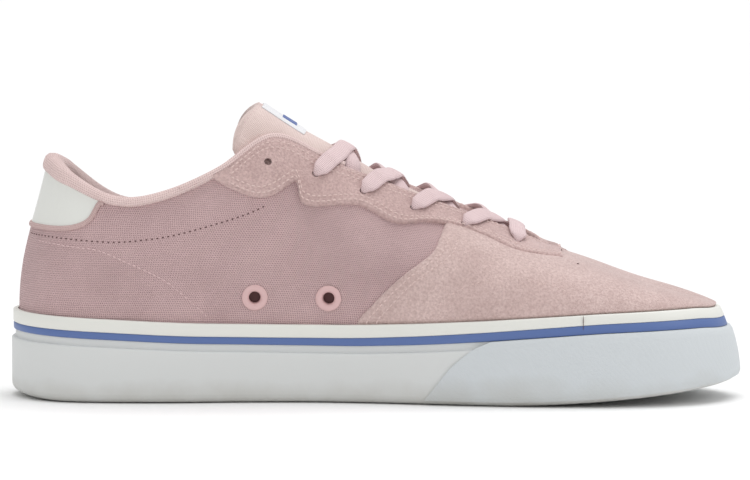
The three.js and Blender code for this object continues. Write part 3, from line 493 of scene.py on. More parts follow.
def stitches(name, rows):
    place, t, n, length, width = (np.concatenate(part) for part in zip(*rows))
    b = np.cross(n, t)
    along = np.array([-0.5, -0.42, -0.2, 0.2, 0.42, 0.5])
    girth = np.array([0.25, 0.8, 1.0, 1.0, 0.8, 0.25])
    sink = np.array([-0.9, -0.35, 0.0, 0.0, -0.35, -0.9])
    sides = stitch["sides"]
    angle = np.linspace(0, 2 * math.pi, sides, endpoint=False)
    ring = np.stack([np.cos(angle), np.sin(angle)], axis=1)
    base = np.zeros((len(along), sides, 3))
    base[..., 0] = along[:, None]
    base[..., 1] = ring[None, :, 0] * girth[:, None] * 0.5
    base[..., 2] = ring[None, :, 1] * girth[:, None] * 0.5
    verts = []
    h = stitch["height"]
    for k in range(len(place)):
        local = base.reshape(-1, 3)
        lift = np.repeat(sink, sides) * h * 0.6
        verts.append(place[k] + t[k] * local[:, :1] * length[k] + b[k] * local[:, 1:2] * width[k]
                     + n[k] * (local[:, 2:] * h + lift[:, None]))
    verts = np.concatenate(verts) * 0.001
    faces = []
    per = len(along) * sides
    for k in range(len(place)):
        for i in range(len(along) - 1):
            for j in range(sides):
                m = (j + 1) % sides
                a = k * per + i * sides
                faces.append((a + j, a + m, a + sides + m, a + sides + j))
        faces.append(tuple(k * per + j for j in reversed(range(sides))))
        faces.append(tuple(k * per + (len(along) - 1) * sides + j for j in range(sides)))
    mesh = bpy.data.meshes.new(name)
    mesh.from_pydata(verts.tolist(), [], faces)
    mesh.update()
    piece = bpy.data.objects.new(name, mesh)
    bpy.context.scene.collection.objects.link(piece)
    evenNormals(piece)
    bpy.ops.object.shade_smooth()
    return piece


# Materials
def linear(r, g, b):
    return tuple(((c / 255) / 12.92 if c <= 10 else ((c / 255 + 0.055) / 1.055) ** 2.4)
                 for c in (r, g, b)) + (1.0,)


def addNode(tree, kind, **values):
    node = tree.nodes.new(kind)
    for key, value in values.items():
        setattr(node, key, value)
    return node


def newGroup(name, inputs, outputs):
    group = bpy.data.node_groups.new(name, "ShaderNodeTree")
    for label, kind, default in inputs:
        socket = group.interface.new_socket(name=label, in_out="INPUT", socket_type=kind)
        if default is not None:
            socket.default_value = default
    for label, kind in outputs:
        group.interface.new_socket(name=label, in_out="OUTPUT", socket_type=kind)
    return group, group.nodes.new("NodeGroupInput"), group.nodes.new("NodeGroupOutput")


def mathNode(tree, operation, a, b=None):
    node = addNode(tree, "ShaderNodeMath", operation=operation)
    for index, value in enumerate((a, b)):
        if value is None:
            continue
        if isinstance(value, (int, float)):
            node.inputs[index].default_value = value
        else:
            tree.links.new(value, node.inputs[index])
    return node.outputs[0]


def makeWeave():  # a plain weave: threads over and under in two directions
    group, inside, outside = newGroup("weave", [
        ("Vector", "NodeSocketVector", None),
        ("Threads", "NodeSocketFloat", 1000.0),
        ("Fuzz", "NodeSocketFloat", 0.3),
    ], [("Height", "NodeSocketFloat"), ("Gap", "NodeSocketFloat")])
    scaled = addNode(group, "ShaderNodeVectorMath", operation="SCALE")
    group.links.new(inside.outputs["Vector"], scaled.inputs[0])
    group.links.new(inside.outputs["Threads"], scaled.inputs["Scale"])
    noise = addNode(group, "ShaderNodeTexNoise")
    noise.inputs["Scale"].default_value = 0.35
    noise.inputs["Detail"].default_value = 2.0
    group.links.new(scaled.outputs[0], noise.inputs["Vector"])
    shift = addNode(group, "ShaderNodeVectorMath", operation="SCALE")
    group.links.new(noise.outputs["Color"], shift.inputs[0])
    group.links.new(inside.outputs["Fuzz"], shift.inputs["Scale"])
    moved = addNode(group, "ShaderNodeVectorMath", operation="ADD")
    group.links.new(scaled.outputs[0], moved.inputs[0])
    group.links.new(shift.outputs[0], moved.inputs[1])
    parts = addNode(group, "ShaderNodeSeparateXYZ")
    group.links.new(moved.outputs[0], parts.inputs[0])
    waves = []
    for axis in ("X", "Y"):
        waves.append(mathNode(group, "SINE", mathNode(group, "MULTIPLY", parts.outputs[axis], math.pi)))
    product = mathNode(group, "MULTIPLY", waves[0], waves[1])
    over = mathNode(group, "MULTIPLY", mathNode(group, "ADD", product, 1.0), 0.5)
    ridgeX = mathNode(group, "ABSOLUTE", waves[0])
    ridgeY = mathNode(group, "ABSOLUTE", waves[1])
    threadA = mathNode(group, "MULTIPLY", ridgeX, over)
    threadB = mathNode(group, "MULTIPLY", ridgeY, mathNode(group, "SUBTRACT", 1.0, over))
    height = mathNode(group, "MAXIMUM", threadA, threadB)
    group.links.new(height, outside.inputs["Height"])
    # Gap is high between the threads; the woven materials colour it dark, painted shade in the weave
    group.links.new(mathNode(group, "SUBTRACT", 1.0, mathNode(group, "MAXIMUM", ridgeX, ridgeY)),
                    outside.inputs["Gap"])
    return group


def makeNap():  # short soft hairs of suede: fine grain and broad brushed clouds
    group, inside, outside = newGroup("nap", [
        ("Vector", "NodeSocketVector", None),
        ("Grain", "NodeSocketFloat", 2600.0),
    ], [("Height", "NodeSocketFloat"), ("Clouds", "NodeSocketFloat"), ("Speckle", "NodeSocketFloat")])
    sizes = ((1.0, 3.0, 1.0, "Height"), (0.03, 3.0, 1.8, "Clouds"), (0.7, 2.0, 3.0, "Speckle"))
    for share, detail, contrast, label in sizes:
        noise = addNode(group, "ShaderNodeTexNoise")
        noise.inputs["Detail"].default_value = detail
        noise.inputs["Roughness"].default_value = 0.6
        group.links.new(inside.outputs["Vector"], noise.inputs["Vector"])
        group.links.new(mathNode(group, "MULTIPLY", inside.outputs["Grain"], share), noise.inputs["Scale"])
        clamped = addNode(group, "ShaderNodeClamp")
        stretched = mathNode(group, "MULTIPLY", mathNode(group, "SUBTRACT", noise.outputs["Fac"], 0.5),
                             contrast)
        group.links.new(mathNode(group, "ADD", stretched, 0.5), clamped.inputs["Value"])
        group.links.new(clamped.outputs[0], outside.inputs[label])
    return group


def makeDarkerLow():  # colour darker towards the bottom of the shoe, made uneven by noise
    group, inside, outside = newGroup("darkerLow", [
        ("Vector", "NodeSocketVector", None),
        ("Top", "NodeSocketFloat", 0.02),
        ("Amount", "NodeSocketFloat", 0.5),
    ], [("Mask", "NodeSocketFloat")])
    parts = addNode(group, "ShaderNodeSeparateXYZ")
    group.links.new(inside.outputs["Vector"], parts.inputs[0])
    low = mathNode(group, "SUBTRACT", 1.0,
                   mathNode(group, "DIVIDE", parts.outputs["Z"], inside.outputs["Top"]))
    noise = addNode(group, "ShaderNodeTexNoise")
    noise.inputs["Scale"].default_value = 60.0
    noise.inputs["Detail"].default_value = 6.0
    group.links.new(inside.outputs["Vector"], noise.inputs["Vector"])
    uneven = mathNode(group, "MULTIPLY", mathNode(group, "SUBTRACT", noise.outputs["Fac"], 0.5), 1.4)
    spread = mathNode(group, "ADD", low, uneven)
    clamped = addNode(group, "ShaderNodeClamp")
    group.links.new(mathNode(group, "MULTIPLY", spread, inside.outputs["Amount"]), clamped.inputs["Value"])
    group.links.new(clamped.outputs[0], outside.inputs["Mask"])
    return group


groups = {"weave": makeWeave(), "nap": makeNap(), "darkerLow": makeDarkerLow()}


def newMaterial(name, color, roughness, sheen=0.0, coat=0.0):
    material = bpy.data.materials.new(name)
    material.use_nodes = True
    tree = material.node_tree
    shader = tree.nodes["Principled BSDF"]
    shader.inputs["Base Color"].default_value = color
    shader.inputs["Roughness"].default_value = roughness
    shader.inputs["Sheen Weight"].default_value = sheen
    shader.inputs["Sheen Roughness"].default_value = 0.4
    shader.inputs["Coat Weight"].default_value = coat
    return material, tree, shader


def useGroup(tree, name, vector, **values):
    node = addNode(tree, "ShaderNodeGroup", node_tree=groups[name])
    tree.links.new(vector, node.inputs["Vector"])
    for key, value in values.items():
        node.inputs[key].default_value = value
    return node


def coordinates(tree, which):
    if which == "uv":
        return addNode(tree, "ShaderNodeUVMap").outputs[0]
    return addNode(tree, "ShaderNodeTexCoord").outputs["Object"]


def mixColor(tree, factor, a, b):
    node = addNode(tree, "ShaderNodeMix", data_type="RGBA")
    tree.links.new(factor, node.inputs["Factor"])
    for socket, value in ((node.inputs[6], a), (node.inputs[7], b)):
        if isinstance(value, tuple):
            socket.default_value = value
        else:
            tree.links.new(value, socket)
    return node.outputs[2]


def bumpInto(tree, shader, height, distance, strength=1.0, previous=None):
    bump = addNode(tree, "ShaderNodeBump")
    bump.inputs["Strength"].default_value = strength
    bump.inputs["Distance"].default_value = distance
    tree.links.new(height, bump.inputs["Height"])
    if previous is not None:
        tree.links.new(previous, bump.inputs["Normal"])
    tree.links.new(bump.outputs[0], shader.inputs["Normal"])
    return bump.outputs[0]


def woven(name, light, dark, threads, fuzz, depth, where="uv", sheen=0.15, clouds=0.25):
    material, tree, shader = newMaterial(name, light, 0.92, sheen)
    weave = useGroup(tree, "weave", coordinates(tree, where), Threads=threads, Fuzz=fuzz)
    nap = useGroup(tree, "nap", coordinates(tree, "object"), Grain=1500.0)
    # the gaps between threads take the dark colour, painted shade in the weave; the clouds darken the cloth
    # at random
    base = mixColor(tree, mathNode(tree, "MULTIPLY", weave.outputs["Gap"], 1.0), light, dark)
    cloudy = mathNode(tree, "MULTIPLY", nap.outputs["Clouds"], clouds)
    tree.links.new(mixColor(tree, cloudy, base, dark), shader.inputs["Base Color"])
    bumpInto(tree, shader, weave.outputs["Height"], depth)
    return material


def suede(name, light, dark, grain=1500.0):
    material, tree, shader = newMaterial(name, light, 0.95, 0.35)
    nap = useGroup(tree, "nap", coordinates(tree, "object"), Grain=grain)
    cloudy = mathNode(tree, "MULTIPLY", nap.outputs["Clouds"], 0.55)
    first = mixColor(tree, cloudy, light, dark)
    speckle = mathNode(tree, "MULTIPLY", nap.outputs["Speckle"], 0.6)
    tree.links.new(mixColor(tree, speckle, first, dark), shader.inputs["Base Color"])
    bumpInto(tree, shader, nap.outputs["Height"], 0.0006, 1.0)
    return material


def rubber(name, color, lowColor, roughness, top, amount, grain=0.0):
    material, tree, shader = newMaterial(name, color, roughness)
    vector = coordinates(tree, "object")
    darkerLow = useGroup(tree, "darkerLow", vector, Top=top, Amount=amount)
    # the colour turns to the second, darker colour towards the bottom, unevenly
    tree.links.new(mixColor(tree, darkerLow.outputs["Mask"], color, lowColor), shader.inputs["Base Color"])
    nap = useGroup(tree, "nap", vector, Grain=900.0)
    bumpInto(tree, shader, nap.outputs["Height"], 0.00006 + grain, 0.5)
    return material


def makeMaterials():
    m = {}
    m["canvas"] = woven("canvas", linear(221, 190, 190), linear(122, 88, 92), 1150.0, 0.35, 0.00035)
    m["collar"] = woven("collarKnit", linear(240, 217, 213), linear(184, 150, 149), 1100.0, 0.5, 0.0003)
    m["tongue"] = woven("tongueKnit", linear(238, 219, 213), linear(190, 160, 156), 1500.0, 0.5, 0.0002)
    m["binding"] = woven("binding", linear(214, 186, 183), linear(160, 128, 126), 1400.0, 0.3, 0.0002)
    m["lace"] = woven("lace", linear(235, 212, 213), linear(186, 156, 159), 1300.0, 0.4, 0.00022)
    m["lining"] = woven("lining", linear(196, 164, 162), linear(140, 108, 107), 1500.0, 0.4, 0.0002)
    m["label"] = woven("labelCloth", linear(236, 236, 238), linear(190, 190, 196), 2200.0, 0.2, 0.00008,
                       clouds=0.05)
    m["labelBlue"] = woven("labelBlue", linear(92, 112, 168), linear(60, 78, 130), 2200.0, 0.2, 0.00008,
                           clouds=0.05)
    m["vamp"] = suede("vampSuede", linear(228, 204, 199), linear(178, 149, 145))
    m["eyestay"] = suede("eyestaySuede", linear(224, 196, 192), linear(166, 135, 132))
    m["thread"], _, _ = newMaterial("thread", linear(219, 195, 190), 0.8, 0.2)
    m["paleThread"], _, _ = newMaterial("paleThread", linear(216, 188, 188), 0.8, 0.2)
    # hole: a dark colour that paints the shade inside stitch holes, pinholes, the tape's seam groove and
    # the disc in each vent
    m["hole"], _, _ = newMaterial("hole", linear(92, 66, 66), 1.0)
    m["tab"], tree, shader = newMaterial("tabLeather", linear(223, 224, 219), 0.36, 0.0, 0.12)
    nap = useGroup(tree, "nap", coordinates(tree, "object"), Grain=500.0)
    bumpInto(tree, shader, nap.outputs["Height"], 0.0001, 0.5)
    m["vent"], _, shader = newMaterial("ventPaint", linear(214, 178, 177), 0.38)
    # the second colour of each rubber is the darker one it turns to towards the bottom
    m["band"] = rubber("bandRubber", linear(226, 226, 220), linear(180, 176, 165), 0.42, 0.006, 0.25)
    m["stripe"] = rubber("stripeRubber", linear(86, 110, 164), linear(60, 76, 120), 0.45, 0.004, 0.2)
    m["sole"] = rubber("soleRubber", linear(211, 213, 212), linear(172, 168, 158), 0.5, 0.009, 0.5)
    m["guard"] = guardMaterial()
    m["insole"] = woven("insoleCloth", linear(214, 190, 187), linear(170, 140, 138), 900.0, 0.3, 0.0003)
    return m


def guardMaterial():  # small diamonds pressed into the rubber
    color = linear(203, 208, 211)
    material, tree, shader = newMaterial("guardRubber", color, 0.6)
    vector = coordinates(tree, "object")
    # the rubber turns darker towards the bottom, unevenly
    darkerLow = useGroup(tree, "darkerLow", vector, Top=0.012, Amount=0.5)
    tree.links.new(mixColor(tree, darkerLow.outputs["Mask"], color, linear(178, 176, 168)),
                   shader.inputs["Base Color"])
    uv = coordinates(tree, "uv")
    parts = addNode(tree, "ShaderNodeSeparateXYZ")
    tree.links.new(uv, parts.inputs[0])
    a = mathNode(tree, "MULTIPLY", parts.outputs["X"], 1500.0)
    b = mathNode(tree, "MULTIPLY", parts.outputs["Y"], 2300.0)
    first = mathNode(tree, "ABSOLUTE", mathNode(tree, "SINE", mathNode(tree, "ADD", a, b)))
    second = mathNode(tree, "ABSOLUTE", mathNode(tree, "SINE", mathNode(tree, "SUBTRACT", a, b)))
    bumpInto(tree, shader, mathNode(tree, "MINIMUM", first, second), 0.00012, 0.35)
    return material


material = makeMaterials()
print("materials ready")


def finishPiece(piece, mat, replaced):
    if mat is not None:
        piece.data.materials.clear()
        piece.data.materials.append(mat)
    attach(piece, "root")
    if replaced:
        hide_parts(*replaced)
    return piece


# Outsole
sole = {"round": 3.4, "recess": 1.5, "rim": 2.5, "samples": 420, "grooveDepth": 1.5, "groovePitch": 8.0,
        "zig": 3.0,
        "margin": 8.0, "across": 96, "lengthwise": 260}


def soleLoop(count=None):
    count = count or sole["samples"]
    q = np.linspace(-lastRow, lastRow, 4001)
    p = planPoint(q)[0]
    run = np.concatenate([[0], np.cumsum(np.linalg.norm(np.diff(p, axis=0), axis=1))])
    return np.interp(np.linspace(0, run[-1], count, endpoint=False), run, q)


def soleRing(name, profile, count=None, closedRing=True):
    q = soleLoop(count)
    along = planPoint(q)[1]
    rings = np.stack([wallPoint(q, depth, z) for depth, z in profile(along, q)], axis=1)
    return gridPiece(name, rings, closedRound=True, closedRing=closedRing)


def tread(x, y):  # depth of the wavy grooves under the sole
    along = (x + shoe["heelSeat"]) / shoe["length"]
    wave = np.abs(((y / (4 * sole["zig"])) % 1) * 2 - 1) * 2 * sole["zig"]
    place = ((x + wave) / sole["groovePitch"]) % 1
    groove = smooth((0.5 - np.abs(place - 0.5)) / 0.09 - 0.9)
    return -sole["grooveDepth"] * (1 - groove)


def makeSole():
    def side(along, q):
        low = bottom(along)
        r = sole["round"]
        top = wallTop(along)
        arc = [(r * (1 - math.sin(a)), low + r * (1 - math.cos(a))) for a in np.linspace(0, math.pi / 2, 7)]
        wallFace = [(0.0 * low, mix(low + r, top - 0.9, t)) for t in (0.15, 0.3, 0.5, 0.7, 0.85, 1.0)]
        lip = [(0.12 + 0 * low, top - 0.45), (0.45 + 0 * low, top - 0.12), (0.9 + 0 * low, top)]
        recess = [(sole["recess"] - 0.2 + 0 * low, top + 0.05), (sole["recess"] + 0 * low, top + 0.4),
                  (sole["recess"] + 0 * low,
                   stripeBottom(along) - 0.1), (sole["rim"] + 0 * low, stripeBottom(along) - 0.1),
                  (sole["rim"] + 0 * low, soleFloor(along))]
        return [(d + 0 * low, z) for d, z in arc + wallFace + lip + recess]
    wallPiece = soleRing("soleWall", side)
    # underside and the floor under the insole, as grids across the outline
    pieces = [wallPiece]
    rowsAt = np.linspace(0.0, lastRow, sole["lengthwise"])
    t = np.linspace(-1, 1, sole["across"])
    for under in (True, False):
        depth = sole["round"] if under else sole["rim"]
        along = planPoint(rowsAt)[1]
        z = bottom(along) if under else soleFloor(along)
        a = wallPoint(-rowsAt - 1e-6, depth, planHeight(-rowsAt, under))
        b = wallPoint(rowsAt, depth, planHeight(rowsAt, under))
        share = (t[None, :, None] + 1) / 2
        p = a[:, None] * (1 - share) + b[:, None] * share
        if under:
            edge = np.minimum(np.linalg.norm(p - a[:, None], axis=-1),
                              np.linalg.norm(p - b[:, None], axis=-1))
            ends = np.minimum(p[..., 0] + shoe["heelSeat"], shoe["length"] - shoe["heelSeat"] - p[..., 0])
            mask = smooth((np.minimum(edge, ends) - sole["margin"]) / 1.2)
            p[..., 2] = p[..., 2] - tread(p[..., 0], p[..., 1]) * mask
        pieces.append(gridPiece("soleGrid", p))
    piece = joined(pieces, "outsoleVisual")
    return finishPiece(piece, material["sole"], ["outsole"])


def planHeight(q, under):
    along = planPoint(q)[1]
    return bottom(along) if under else soleFloor(along)


makeSole()
print("outsole done")

# Bands round the sole
bands = {"inset": 0.6, "rim": 2.5, "soft": 0.5}


def ringProfile(low, high, inset, soft):
    def profile(along, q):
        a, b = low(along), high(along)
        r = soft
        o = 0 * a
        return [(bands["rim"] + o, a), (inset + r + o, a), (inset + 0.3 * r + o, a + 0.3 * r),
                (inset + o, a + r),
                (inset + o, mix(a, b, 0.5)), (inset + o, b - r), (inset + 0.3 * r + o,
                                                                  b - 0.3 * r), (inset + r + o, b),
                (bands["rim"] + o, b)]
    return profile


stripePiece = soleRing("foxingStripeVisual",
                       ringProfile(stripeBottom, stripeTop, bands["inset"] + 0.15, 0.35))
finishPiece(stripePiece, material["stripe"], ["foxing_stripe"])
bandPiece = soleRing("foxingBandVisual", ringProfile(stripeTop, foxingTop, bands["inset"], bands["soft"]))
finishPiece(bandPiece, material["band"], ["foxing_band"])
print("bands done")

# Toe guard
guard = {"proud": 0.7, "thickness": 1.7, "low": 1.6, "topGap": 0.15, "softEdge": 0.5, "stations": 300,
         "rows": 15,
         "crowding": 0.9, "edge": ((0.566, -3.0), (0.566, 1.0), (0.581, 7.7), (0.604, 17.0),
                                                             (0.632, 24.4), (0.655, 27.0), (0.664, 28.4))}


def guardStart(z):  # row where the slanted rear edge stands at this height
    heights = [p[1] for p in guard["edge"]]
    along = np.interp(z, heights, [p[0] for p in guard["edge"]])
    return np.interp(along, extended["along"][1:-1], np.arange(lastRow + 1))


def makeGuard():
    u = np.linspace(-1, 1, guard["stations"])[:, None]
    h = np.linspace(0, 1, guard["rows"])[None, :]
    rowStart = guardStart(mix(guard["low"], guard["edge"][-2][1], h))
    q = np.where(u < 0, -1, 1) * mix(lastRow, rowStart, np.abs(u) ** guard["crowding"])
    along = planPoint(q)[1]
    z = mix(bottom(along) + guard["low"], stripeBottom(along) - guard["topGap"], h)
    edge = np.where((h == 0) | (h == 1), guard["softEdge"], 0.0)
    outer = wallPoint(q, edge - guard["proud"] + 0 * z, z)
    inner = wallPoint(q, guard["thickness"] - guard["proud"] + 0 * z, z)
    shell = np.concatenate([outer, inner[:, ::-1]], axis=1)
    piece = gridPiece("toeGuardVisual", shell, closedRing=True, capEnds=True)
    return finishPiece(piece, material["guard"], ["toe_guard"])


makeGuard()
print("toe guard done")

# Insole
insole = {"heel": 6.0, "toe": 4.0, "edge": 5.5}


def makeInsole():
    rowsAt = np.linspace(0, lastRow, 140)
    along = planPoint(rowsAt)[1]
    thick = mix(insole["heel"], insole["toe"], smooth((along - 0.2) / 0.5))
    edges = []
    for sideSign in (-1, 1):
        q = rowsAt * sideSign + sideSign * 1e-6
        a = planPoint(q)[1]
        edges.append(wallPoint(q, insole["edge"], soleFloor(a) + 0.3))
    t = np.linspace(-1, 1, 41)
    share = (t[None, :, None] + 1) / 2
    lowSheet = edges[0][:, None] * (1 - share) + edges[1][:, None] * share
    top = lowSheet.copy()
    dish = 1 + 0.25 * np.abs(t) ** 4  # the rim of the footbed stands up a little
    top[..., 2] += thick[:, None] * dish[None, :]
    ring = np.concatenate([top, lowSheet[:, ::-1]], axis=1)
    piece = gridPiece("insoleVisual", ring, closedRing=True, capEnds=True)
    return finishPiece(piece, material["insole"], ["insole"])


makeInsole()
print("insole done")

# Upper: one canvas wall, open at the collar, the throat and underneath
upper = {"samples": 360, "rows": 44, "innerRows": 24}


def upperLoop(count):
    q = np.linspace(-lastRow, lastRow, 4001)
    p = planPoint(q)[0]
    h = head(q)
    step = np.linalg.norm(np.diff(p, axis=0), axis=1) + 0.6 * np.linalg.norm(np.diff(h, axis=0), axis=1)
    run = np.concatenate([[0], np.cumsum(step)])
    return np.interp(np.linspace(0, run[-1], count, endpoint=False), run, q)


def makeUpper():
    q = upperLoop(upper["samples"])
    outerV = np.concatenate([np.linspace(-1, -0.02, 5), np.linspace(0, 1, upper["rows"])])
    innerV = np.concatenate([np.linspace(1, 0, upper["innerRows"]), np.linspace(-0.3, -1, 3)])
    ringList = [upperPoint(q, np.full_like(q, v)) for v in outerV]
    topOut = ringList[-1]
    topIn = upperPoint(q, np.full_like(q, 1.0), -shoe["wall"])
    upDir = bareUpper(q, np.full_like(q, 1.0)) - bareUpper(q, np.full_like(q, 0.96))
    upDir /= np.linalg.norm(upDir, axis=1, keepdims=True)
    rise = np.where(np.abs(q) < shoe["throatEnd"], shoe["wall"] / 2, 0)[:, None]
    for k in (0.25, 0.5, 0.75):
        ringList.append(mix(topOut, topIn, k) + upDir * rise * math.sin(math.pi * k))
    ringList += [upperPoint(q, np.full_like(q, v), -shoe["wall"]) for v in innerV]
    piece = gridPiece("upperVisual", np.stack(ringList, axis=1), closedRound=True, closedRing=True)
    return piece


upperPiece = makeUpper()
upperPiece.data.materials.append(material["canvas"])
upperPiece.data.materials.append(material["lining"])
print("upper done")

# Eyelets along the throat
eyelets = {"count": 6, "first": 0.352, "last": 0.686, "inset": 9.5, "radius": 1.5}
eyeletPlaces = {}


def onUpper(q, v):  # a point on the canvas and the way out of it
    at, share = np.array([q]), np.array([v])
    return upperPoint(at, share)[0], faceNormals(bareUpper, at, share)[0]


for side in (-1, 1):
    places = []
    for i in range(eyelets["count"]):
        along = mix(eyelets["first"], eyelets["last"], i / (eyelets["count"] - 1))
        row = float(np.interp(along, extended["headAlong"][1:-1], np.arange(lastRow + 1)))
        q = side * row
        v = belowTop(q, eyelets["inset"])
        point, normal = onUpper(q, v)
        places.append({"q": q, "v": v, "point": point, "normal": normal})
    eyeletPlaces[side] = places

# Vent eyelets on the medial side
vents = {"places": ((0.337, 0.4), (0.437, 0.397)), "flange": 5.1, "hole": 2.3}
ventPlaces = [onUpper(q, v) for q, v in fromSide(shares(vents["places"]), -1)]


def punch(pieces, places):
    cutters = []
    for point, normal, radius, length in places:
        deselect()
        bpy.ops.mesh.primitive_cylinder_add(vertices=24, radius=radius * 0.001, depth=length * 0.001)
        cutter = bpy.context.object
        turn = Vector((0, 0, 1)).rotation_difference(Vector(normal)).to_matrix().to_4x4()
        cutter.data.transform(Matrix.Translation(Vector(point) * 0.001) @ turn)
        cutters.append(cutter)
    tool = joined(cutters, "punchTool")
    for piece in pieces:
        cutWith(piece, tool)
    bpy.data.objects.remove(tool)


eyeletHoles = [(e["point"], e["normal"], eyelets["radius"], 16.0)
               for side in (-1, 1) for e in eyeletPlaces[side]]
ventHoles = [(p, n, vents["hole"] + 0.6, 10.0) for p, n in ventPlaces]
punch([upperPiece], eyeletHoles + ventHoles)
finishPiece(upperPiece, None, ["upper"])
print("holes punched")


def makeVent(index, point, normal):
    f, h = vents["flange"], vents["hole"]
    profile = [
        (h, -3.0), (h + 0.5, -3.2), (f - 0.6, -2.9), (f - 0.4, -2.5), (h + 0.6, -2.4), (h + 0.6, 0.15),
        (f - 0.25, 0.15), (f, 0.3), (f - 0.12, 0.5), (f - 0.8, 0.66), (f - 1.7, 0.7), (h + 0.7, 0.5),
        (h + 0.15, 0.1), (h, -0.5),
    ]
    angle = np.linspace(0, 2 * math.pi, 48, endpoint=False)
    n = Vector(normal)
    turn = np.array(Vector((0, 0, 1)).rotation_difference(n).to_matrix())
    rings = np.array([[turn @ np.array([rr * math.cos(a), rr * math.sin(a), zz]) + point for rr,
                       zz in profile] for a in angle])
    piece = gridPiece(f"ventVisual{index}", rings, closedRound=True, closedRing=True)
    disc = np.array([[turn @ np.array([rr * math.cos(a), rr * math.sin(a), -2.6]) + point
                      for rr in (0.01, h + 0.3)]
                     for a in angle])
    shade = gridPiece(f"ventShade{index}", disc, closedRound=True)
    finishPiece(shade, material["hole"], None)
    return finishPiece(piece, material["vent"], [f"vent_eyelet_{index}"])


for index, (point, normal) in enumerate(ventPlaces):
    makeVent(index + 1, point, normal)
print("vents done")

# Vamp: suede over the toe, from its rear edge forward
vamp = {"height": 1.5,
        "rear": ((0.475, 0.24), (0.478, 0.313), (0.495, 0.369), (0.514, 0.427), (0.538, 0.488),
                 (0.56, 0.533), (0.579, 0.575), (0.587, 0.618), (0.595, 0.671)),
        "columns": 90, "rows": 70, "underStay": 0.86, "length": 120.0, "doubleRow": (2.2, 4.6)}
seamRows = []  # stitches in suede thread
paleRows = []
# holeRows: dark marks that paint the shade in stitch holes and pinholes
holeRows = []


def skinNormals(q, v):
    return faceNormals(bareUpper, q, v)


def makeVamp():
    halves = []
    for side in (-1, 1):
        rear = fromSide(spline(shares(vamp["rear"]), 40), side)
        order = np.argsort(rear[:, 1])
        rearV, rearRow = rear[order, 1], np.abs(rear[order, 0])
        rearRow[0] = rearRow[1]
        v = np.linspace(0, 1, vamp["rows"])
        start = np.interp(v * vamp["underStay"], rearV, rearRow)
        near = np.array([0, 0.0005, 0.25, 0.55, 0.9, 1.4, 2.0]) / vamp["length"]
        w = np.concatenate([near, np.linspace(0.03, 1, vamp["columns"])])
        rise = np.ones_like(w)
        rise[:6] = [-0.4, 0.35, 0.7, 0.88, 0.97, 1.0]
        rows = start[None, :] + (lastRow - start[None, :]) * w[:, None]
        limit = np.where(rows < 11.4, mix(vamp["underStay"], 1.0, smooth((rows - 10.6) / 0.8)), 1.0)
        vv = v[None, :] * limit
        q = side * rows
        lift = vamp["height"] * rise[:, None] * np.ones_like(vv)
        low = smooth(vv / 0.03)
        lift = np.where(vv < 0.03, mix(0.4, lift, low), lift)
        p = upperPoint(q.ravel(), vv.ravel(), lift.ravel()).reshape(*q.shape, 3)
        halves.append(gridPiece("vampHalf", p))
        # two rows of stitches just ahead of the rear edge
        for away in vamp["doubleRow"]:
            rowLine = start + (lastRow - start) * away / vamp["length"]
            keep = v < 0.8
            low = v[keep] * vamp["underStay"]
            line = upperPoint(side * rowLine[keep], low,
                              np.full(keep.sum(), vamp["height"] + stitch["proud"]))
            seamRows.append(stitchRow(line, skinNormals(side * rowLine[keep], low)))
    piece = joined(halves, "vampVisual")
    evenNormals(piece, merge=weldGap)
    return finishPiece(piece, material["vamp"], ["vamp"])


makeVamp()
print("vamp done")

# Eyestay: suede round the throat
eyestay = {"height": 1.7, "front": 2.2, "frontRow": 11.68, "stations": 230, "rows": 22,
           "stepFrom": 158.0, "stepLength": 18.0, "doubleRow": (2.0, 4.4), "openSpan": 9.0,

           "edge": ((0.281, 0.851), (0.304, 0.816), (0.329, 0.787), (0.346, 0.779), (0.363, 0.79),
                    (0.38, 0.82), (0.39, 0.84)),
           "notch": ((0.3925, 0.838), (0.3955, 0.818), (0.398, 0.7755), (0.4033, 0.755), (0.42, 0.745),
                     (0.456, 0.7505),
                     (0.4774, 0.7475), (0.4985, 0.7215), (0.518,
                                                          0.69), (0.5375,
                                                                  0.678), (0.5655, 0.6825), (0.592, 0.673),
                     (0.6166, 0.655), (0.6466, 0.622), (0.677,
                                                        0.5835), (0.697,
                                                                  0.563), (0.721, 0.549), (0.738, 0.54),
                     (0.75, 0.535), (0.757, 0.531))}


def stayEdge(side):  # lower edge and the matching points of the throat edge, from the collar to the front
    rear = spline(shares(eyestay["edge"]), 60)
    front = spline(shares(eyestay["notch"]), 200)
    line = resample(np.vstack([rear, front]), eyestay["stations"])
    low = fromSide(line, side)
    low[:, 0] = side * np.minimum(np.abs(low[:, 0]), eyestay["frontRow"])
    low[-1, 1] = 1.0
    q0 = abs(low[0, 0])
    low[0, 1] = 1.0
    t = np.linspace(0, 1, eyestay["stations"])
    topRow = mix(q0, eyestay["frontRow"], t)
    return low, np.stack([side * topRow, np.ones_like(t)], axis=1)


